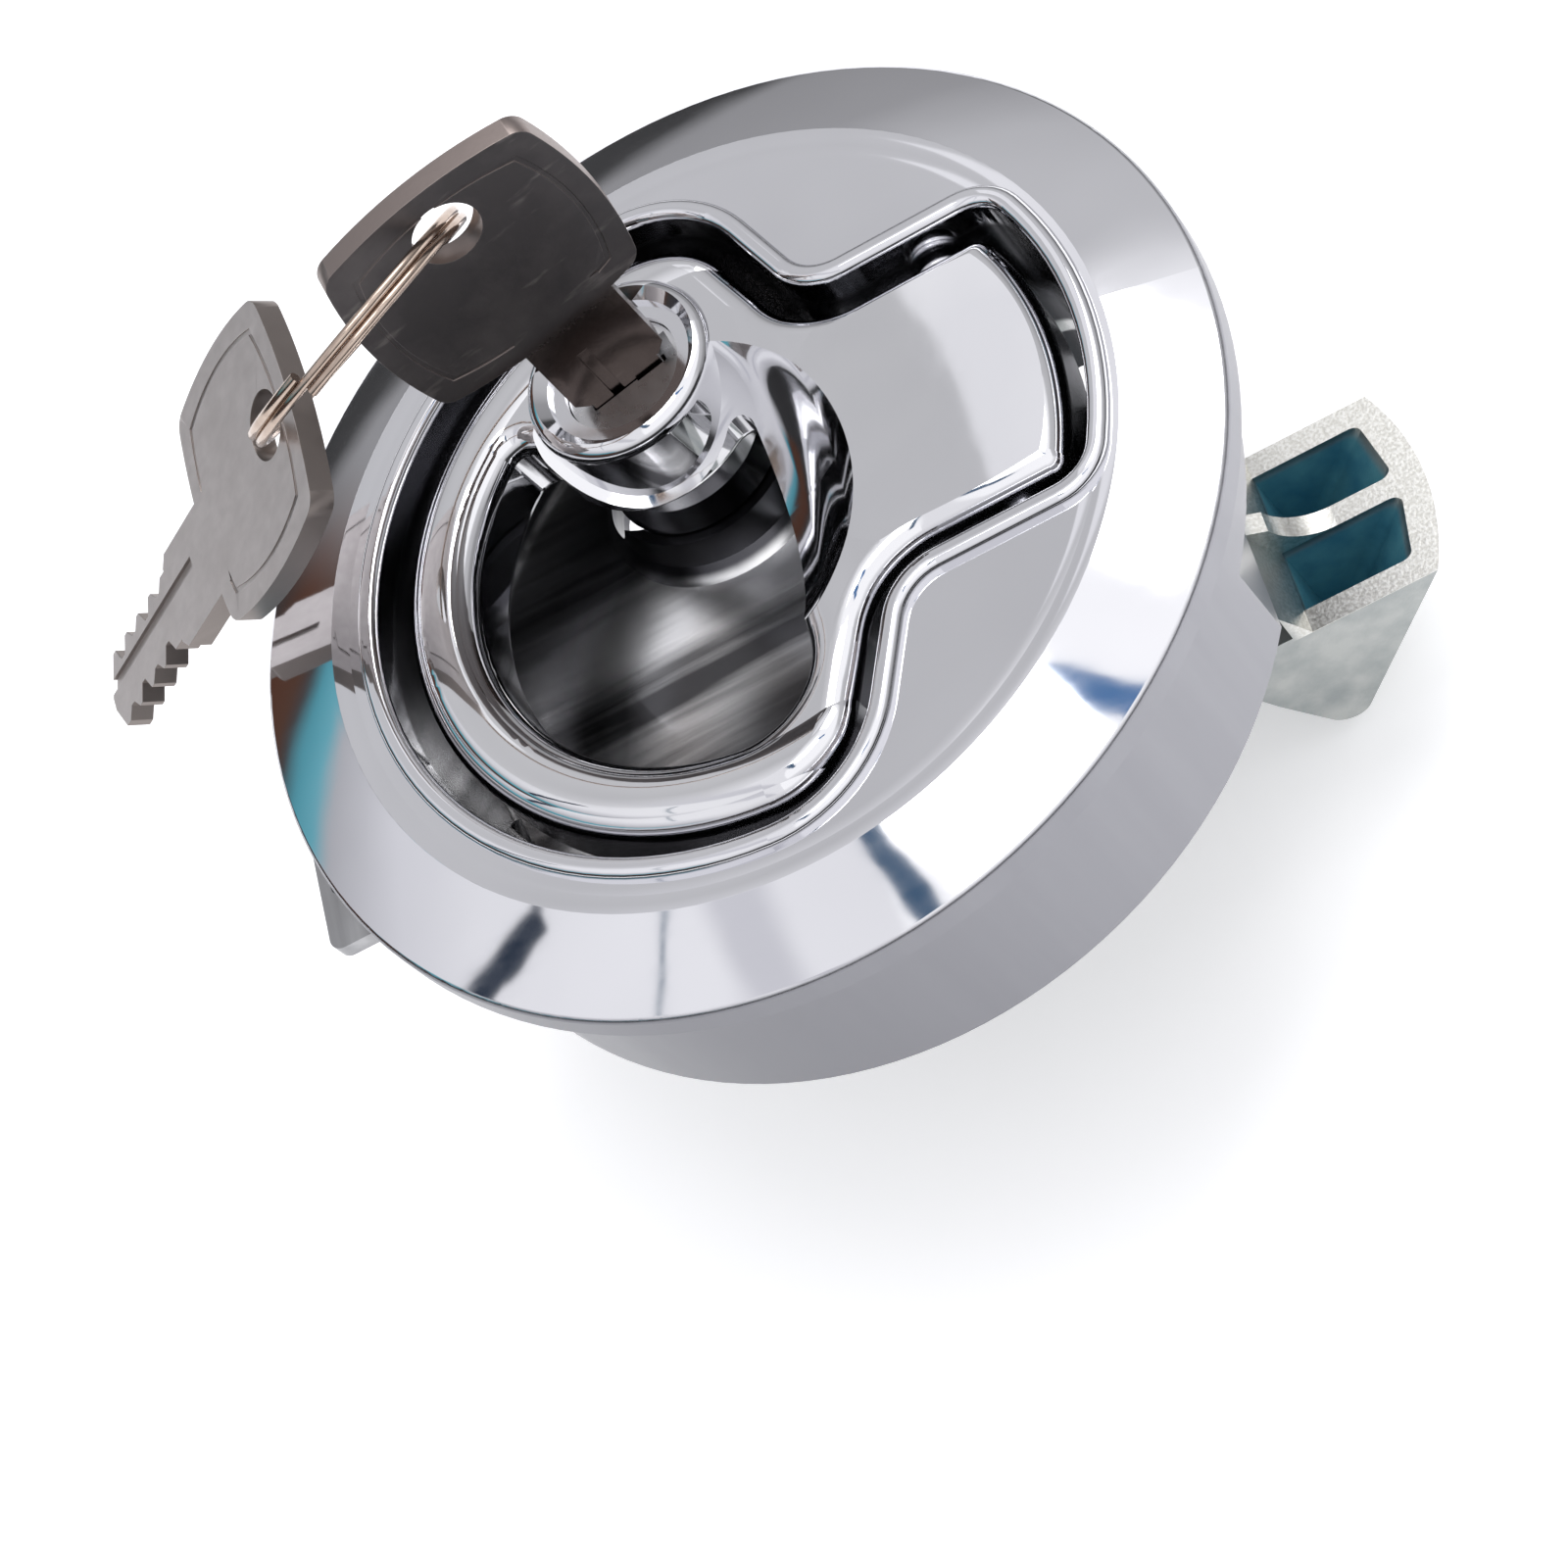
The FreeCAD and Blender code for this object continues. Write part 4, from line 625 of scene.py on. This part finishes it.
BOLT_SPRING_WIRE = 1.1 * MM
BOLT_SPRING_R = 2.8 * MM
BOLT_SPRING_TURNS = 2.25
BOLT_SPRING_PITCH = 1.08 * MM
bolt_spring_place = Matrix.Translation(mm(20.0, -12.3, -14.0))
bolt_spring = wound_wire(
    "bolt_spring_wire",
    BOLT_SPRING_WIRE,
    BOLT_SPRING_R,
    BOLT_SPRING_TURNS,
    BOLT_SPRING_PITCH,
    steps=90,
    first_leg=[mm(-3.0, 0, 0), mm(-3.0, 0, 0), mm(-2.8, 0, 0)],
    last_leg=[mm(0.5, 0, -1.6), mm(2.2, 0, -5.6), mm(3.2, 0, -7.6), mm(0.7, 0.5, -1.4), mm(0.4, 0.8, -0.9)],
    to_place=bolt_spring_place,
)
bolt_spring.data.materials.append(spring_wire)
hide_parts("bolt_spring")
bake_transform(bolt_spring)

HANDLE_SPRING_WIRE = 0.7 * MM
HANDLE_SPRING_R = 2.1 * MM
HANDLE_SPRING_TURNS = 1.75
HANDLE_SPRING_LENGTH = 0.72 * MM
half_turn = Matrix.Rotation(math.pi, 4, "Y")
handle_spring_place = Matrix.Translation(mm(22.0, 12.2, 0.0)) @ half_turn
handle_spring = wound_wire(
    "handle_spring_wire",
    HANDLE_SPRING_WIRE,
    HANDLE_SPRING_R,
    HANDLE_SPRING_TURNS,
    HANDLE_SPRING_LENGTH / HANDLE_SPRING_TURNS,
    steps=70,
    first_leg=[mm(2.0, 0, 0), mm(2.0, 0, 0), mm(1.8, 0, 0)],
    last_leg=[mm(0, 0, 3.0), mm(0, 0, 3.0), mm(0, 0, 2.8)],
    to_place=handle_spring_place,
)
handle_spring.data.materials.append(spring_wire)
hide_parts("handle_spring")
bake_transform(handle_spring)

# Slam bolt
# A zinc casting, tumbled and plated. Its strike face sparkles with fine grain,
# and the two cored pockets keep the blue of the passivation.
STRIKE_Z = -33.0 * MM
RAMP_X = 44.9 * MM
RAMP_RUN = math.tan(math.radians(39.4))
POCKET_DEPTH = 8.7 * MM
POCKET_X = 32.9 * MM
POCKET_Y = 7.6 * MM
FLANK_TONES = (0.34, 0.365, 0.365), (0.50, 0.515, 0.50)
STRAW_TONES = (0.72, 0.71, 0.66), (0.88, 0.875, 0.84)
BLUE_TONES = (0.05, 0.22, 0.32), (0.13, 0.38, 0.45)
bolt_zinc, tree, shader = metal("bolt_zinc", (0.72, 0.71, 0.66), 0.3)
x, y, z = own_axes(tree)
drop = maths(tree, "SUBTRACT", STRIKE_Z, z)
ramp_x = maths(tree, "SUBTRACT", RAMP_X, product(tree, drop, RAMP_RUN))
cored = product(
    tree,
    rise(tree, drop, 0.1 * MM, 1.2 * MM),
    rise(tree, drop, POCKET_DEPTH + 0.2 * MM, POCKET_DEPTH),
    rise(tree, maths(tree, "SUBTRACT", ramp_x, x), 0.0, 0.2 * MM),
    rise(tree, x, POCKET_X - 0.5 * MM, POCKET_X),
    rise(tree, maths(tree, "ABSOLUTE", y), POCKET_Y + 0.3 * MM, POCKET_Y),
)
top_face = product(tree, rise(tree, drop, 0.08 * MM, 0.02 * MM), rise(tree, x, 31.0 * MM, 32.5 * MM))
sparkle = grain(tree, 3600.0, detail=3.0)
clouds = grain(tree, 260.0, detail=4.0)
flank = mottled(tree, clouds, 0.35, 0.65, FLANK_TONES)
straw = mottled(tree, sparkle, 0.4, 0.62, STRAW_TONES)
blue = mottled(tree, clouds, 0.3, 0.7, BLUE_TONES)
tree.links.new(spread(tree, cored, 1.0, 0.25), shader.inputs["Metallic"])
colour = paint_over(tree, cored, paint_over(tree, top_face, flank, straw), blue)
tree.links.new(colour, shader.inputs["Base Color"])
tree.links.new(spread(tree, sparkle, 0.22, 0.46), shader.inputs["Roughness"])
bump(tree, shader, sparkle, 0.03 * MM, 0.6)
dress("bolt", bolt_zinc)

# Lock
# A plated barrel pressed into the collar, and a zinc plug with five brass
# wafers, a steel cam and the screw that holds the cam on.
BARREL_DARK_BELOW = -2.4 * MM
BARREL_BRIGHT_ABOVE = -1.8 * MM
BARREL_TONES = (0.10, 0.10, 0.11), (0.56, 0.56, 0.58)
BARREL_HEAD = (0.74, 0.74, 0.77)
WAFERS = 5
barrel_chrome, tree, shader = metal("barrel_chrome", (0.40, 0.40, 0.42), 0.14)
z = own_axes(tree)[2]
drawn = grain(tree, 380.0, stretch=(1, 1, 0.08), detail=3.0)
panels = grain(tree, 95.0, stretch=(1, 1, 0.15), detail=0.0)
# The barrel is darker and uneven below its head, and lighter on the head.
tone_below_head = mottled(tree, panels, 0.42, 0.58, BARREL_TONES)
head = rise(tree, z, BARREL_DARK_BELOW, BARREL_BRIGHT_ABOVE)
tree.links.new(paint_over(tree, head, tone_below_head, BARREL_HEAD), shader.inputs["Base Color"])
tree.links.new(spread(tree, drawn, 0.07, 0.22), shader.inputs["Roughness"])
bump(tree, shader, drawn, 0.01 * MM, 0.4)
dress("lock_barrel", barrel_chrome)
plug_zinc, tree, shader = metal("plug_zinc", (0.62, 0.62, 0.64), 0.28)
faced = grain(tree, 1500.0, detail=4.0)
brushed = grain(tree, 700.0, stretch=(1, 0.1, 1), detail=4.0)
tree.links.new(paint_over(tree, brushed, (0.78, 0.78, 0.79), (0.50, 0.50, 0.52)), shader.inputs["Base Color"])
tree.links.new(spread(tree, faced, 0.20, 0.38), shader.inputs["Roughness"])
bump(tree, shader, brushed, 0.02 * MM, 0.6)
dress("lock_plug", plug_zinc)
cam_steel = worked_metal(
    "cam_steel",
    (0.55, 0.55, 0.57),
    0.3,
    marks={"scale": 600.0, "stretch": (1, 0.3, 1), "detail": 4.0},
    tones=((0.64, 0.64, 0.66), (0.44, 0.44, 0.47)),
    polish=(0.22, 0.42),
    depth=0.02 * MM,
)
dress("lock_cam", cam_steel)
wafer_brass = worked_metal(
    "wafer_brass",
    (0.50, 0.38, 0.16),
    0.3,
    marks={"scale": 1200.0, "detail": 4.0},
    tones=((0.58, 0.44, 0.19), (0.36, 0.26, 0.11)),
    polish=(0.24, 0.44),
    depth=0.015 * MM,
)
for number in range(1, WAFERS + 1):
    dress(f"wafer_{number}", wafer_brass)


# Keys
# Stamped blanks, nickel plated. The key in the lock has gone dark gunmetal, with a
# painted highlight on its edges, and the spare is pale, with brushed faces and
# darker edges.
def eased(piece, width):
    """Breaks the sharp edges of a stamped piece."""
    weld = piece.modifiers.new("weld", "WELD")
    weld.merge_threshold = 2 * SAME_PLACE
    edge = piece.modifiers.new("eased_edges", "BEVEL")
    edge.width = width
    edge.segments = 2
    edge.limit_method = "ANGLE"
    edge.angle_limit = math.radians(40)
    edge.use_clamp_overlap = True
    edge.harden_normals = False
    level = piece.modifiers.new("even_shading", "WEIGHTED_NORMAL")
    level.keep_sharp = True


def stamped_edge(tree, face_way):
    """1 on the sheared edge of a stamped piece whose faces look along a direction."""
    where = new_node(tree, "ShaderNodeTexCoord", (-1400, 400))
    facing = new_node(tree, "ShaderNodeVectorMath", (-1200, 400), operation="DOT_PRODUCT")
    facing.inputs[1].default_value = face_way
    tree.links.new(where.outputs["Normal"], facing.inputs[0])
    return rise(tree, maths(tree, "ABSOLUTE", facing.outputs["Value"]), 0.9, 0.6)


KEY_EDGE = 0.16 * MM
key_normal = Vector((-0.21303, 0.97705, 0.0))
DARK_TONES = (0.105, 0.097, 0.098), (0.165, 0.150, 0.148)
DARK_SCRATCH = (0.42, 0.38, 0.36)
DARK_EDGE_HIGHLIGHT = (0.29, 0.245, 0.23)
NECK_PAINTED_SHADE = (0.10, 0.075, 0.065)
NECK_Z = 12.0 * MM
key_dark, tree, shader = metal("key_dark_nickel", (0.12, 0.115, 0.11), 0.36)
z = own_axes(tree)[2]
wear = grain(tree, 150.0, detail=6.0)
scratch = grain(tree, 700.0, stretch=(0.12, 1, 1), detail=5.0, turn=(0, 0.5, 0.2))
fine = grain(tree, 3200.0, detail=3.0)
tone = mottled(tree, wear, 0.38, 0.68, DARK_TONES)
tone = paint_over(tree, product(tree, rise(tree, scratch, 0.60, 0.72), 0.35), tone, DARK_SCRATCH)
# Painted highlight: the key's edges are painted lighter, as if they caught the light.
tone = paint_over(tree, stamped_edge(tree, key_normal), tone, DARK_EDGE_HIGHLIGHT)
# The neck just above the plug is glossier, and painted darker: painted shade and dark reflection from the
# collar.
neck = rise(tree, z, NECK_Z + 2.5 * MM, NECK_Z)
tone = paint_over(tree, product(tree, neck, 0.8), tone, NECK_PAINTED_SHADE)
tree.links.new(tone, shader.inputs["Base Color"])
finish = maths(tree, "SUBTRACT", spread(tree, fine, 0.34, 0.50), product(tree, neck, 0.2))
tree.links.new(finish, shader.inputs["Roughness"])
bump(tree, shader, total(tree, fine, scratch), 0.02 * MM, 0.4)
eased(dress("key", key_dark), KEY_EDGE)

spare_normal = Vector((0.6163, 0.14659, -0.77375))
spare_length = Vector((0.787, -0.147, 0.599))
PALE_TONES = (0.49, 0.455, 0.447), (0.58, 0.542, 0.532)
PALE_WORN = (0.43, 0.395, 0.385)
PALE_EDGE_TONE = (0.24, 0.21, 0.195)
key_light, tree, shader = metal("key_light_nickel", (0.66, 0.63, 0.58), 0.3)
lengthwise = spare_length.to_track_quat("X", "Z").to_euler()
brush_turn = (-lengthwise.x, -lengthwise.y, -lengthwise.z)
brushed = grain(tree, 800.0, stretch=(0.06, 1, 1), detail=5.0, turn=brush_turn)
wear = grain(tree, 260.0, detail=4.0)
tone = mottled(tree, brushed, 0.3, 0.7, PALE_TONES)
tone = paint_over(tree, spread(tree, wear, 0.0, 0.45, 0.45, 0.75), tone, PALE_WORN)
# The spare's edges are darker than its faces.
tone = paint_over(tree, stamped_edge(tree, spare_normal), tone, PALE_EDGE_TONE)
tree.links.new(tone, shader.inputs["Base Color"])
tree.links.new(spread(tree, brushed, 0.34, 0.50), shader.inputs["Roughness"])
bump(tree, shader, brushed, 0.015 * MM, 0.5)
eased(dress("spare_key", key_light), KEY_EDGE)

# Split ring
# Two turns of sprung wire side by side, through the holes of both keys, with
# the two ends lying against the turn next to them.
RING_WIRE = 0.84 * MM
RING_PITCH = RING_WIRE * 0.97
RING_TURNS = 2.0
ring_wire, tree, shader = metal("ring_wire", (0.62, 0.55, 0.49), 0.16)
drawn = grain(tree, 900.0, detail=4.0)
tree.links.new(paint_over(tree, drawn, (0.64, 0.53, 0.45), (0.36, 0.27, 0.22)), shader.inputs["Base Color"])
tree.links.new(spread(tree, drawn, 0.10, 0.24), shader.inputs["Roughness"])
bump(tree, shader, drawn, 0.01 * MM, 0.4)
key_hole = mm(-5.856, 16.095, 27.95)
spare_hole = mm(-26.607, 15.036, 19.315)
hole_to_hole = spare_hole - key_hole
ring_axis = hole_to_hole.cross(key_normal + spare_normal).normalized()
ring_up = hole_to_hole.cross(ring_axis).normalized()
ring_side = ring_axis.cross(ring_up).normalized()
ring_turn = Matrix((ring_side, ring_axis, ring_up)).transposed().to_4x4()
ring_middle = (key_hole + spare_hole) / 2 - ring_axis * RING_PITCH
split_ring = wound_wire(
    "split_ring",
    RING_WIRE,
    hole_to_hole.length / 2,
    RING_TURNS,
    RING_PITCH,
    steps=160,
    first_leg=[],
    last_leg=[],
    to_place=Matrix.Translation(ring_middle) @ ring_turn,
)
split_ring.data.materials.append(ring_wire)
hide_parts("key_ring")
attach(split_ring, "ring")

# Panel clamp
# Folded stainless sheet held by two zinc plated M4 screws, each with a spring
# washer and a flat washer, on the flat of the body.
BRACKET_EDGE = 0.2 * MM
BRACKET_TONES = (0.30, 0.30, 0.31), (0.50, 0.50, 0.51)
BRACKET_STAIN = (0.26, 0.255, 0.25)
bracket_steel, tree, shader = metal("bracket_steel", (0.42, 0.42, 0.43), 0.32)
brushed = grain(tree, 420.0, stretch=(1, 0.05, 1), detail=6.0)
stain = grain(tree, 130.0, detail=3.0)
tone = mottled(tree, brushed, 0.32, 0.68, BRACKET_TONES)
tone = paint_over(tree, spread(tree, stain, 0.0, 0.4, 0.4, 0.7), tone, BRACKET_STAIN)
tree.links.new(tone, shader.inputs["Base Color"])
tree.links.new(spread(tree, brushed, 0.26, 0.46), shader.inputs["Roughness"])
bump(tree, shader, brushed, 0.02 * MM, 0.6)
eased(dress("clamp_bracket", bracket_steel), BRACKET_EDGE)

SCREW_SIDE = 8.8 * MM
SCREW_Z = -14.0 * MM
SHANK_R = 2.0 * MM
THREAD_PITCH = 0.7 * MM
THREAD_SHARE = 2.0
ZINC_SHARE = 0.05
SCREW_TONES = (0.50, 0.62, 0.70), (0.72, 0.77, 0.80)
screw_zinc, tree, shader = metal("screw_zinc", (0.58, 0.66, 0.72), 0.2)
x, y, z = own_axes(tree)
off_y = maths(tree, "SUBTRACT", maths(tree, "ABSOLUTE", y), SCREW_SIDE)
off_z = maths(tree, "SUBTRACT", z, SCREW_Z)
on_shank = rise(tree, from_axis(tree, off_y, off_z), SHANK_R + 0.1 * MM, SHANK_R)
turn_share = maths(tree, "DIVIDE", maths(tree, "ARCTAN2", off_z, off_y), 2 * math.pi)
winding = maths(tree, "SUBTRACT", maths(tree, "DIVIDE", x, THREAD_PITCH), turn_share)
thread = product(tree, maths(tree, "PINGPONG", winding, 0.5), on_shank)
zinc_clouds = grain(tree, 420.0, detail=4.0)
tree.links.new(mottled(tree, zinc_clouds, 0.35, 0.65, SCREW_TONES), shader.inputs["Base Color"])
tree.links.new(spread(tree, zinc_clouds, 0.12, 0.30), shader.inputs["Roughness"])
marks = total(tree, product(tree, thread, THREAD_SHARE), product(tree, zinc_clouds, ZINC_SHARE))
bump(tree, shader, marks, 0.3 * MM, 0.8)
for name in ("bracket_screw_1", "bracket_screw_2"):
    dress(name, screw_zinc)
washer_zinc = worked_metal(
    "washer_zinc",
    (0.58, 0.66, 0.72),
    0.24,
    marks={"scale": 800.0, "detail": 4.0},
    tones=((0.48, 0.58, 0.66), (0.70, 0.74, 0.76)),
    polish=(0.16, 0.34),
    depth=0.02 * MM,
)
for name in ("flat_washer_1", "flat_washer_2", "spring_washer_1", "spring_washer_2", "cam_screw"):
    dress(name, washer_zinc)
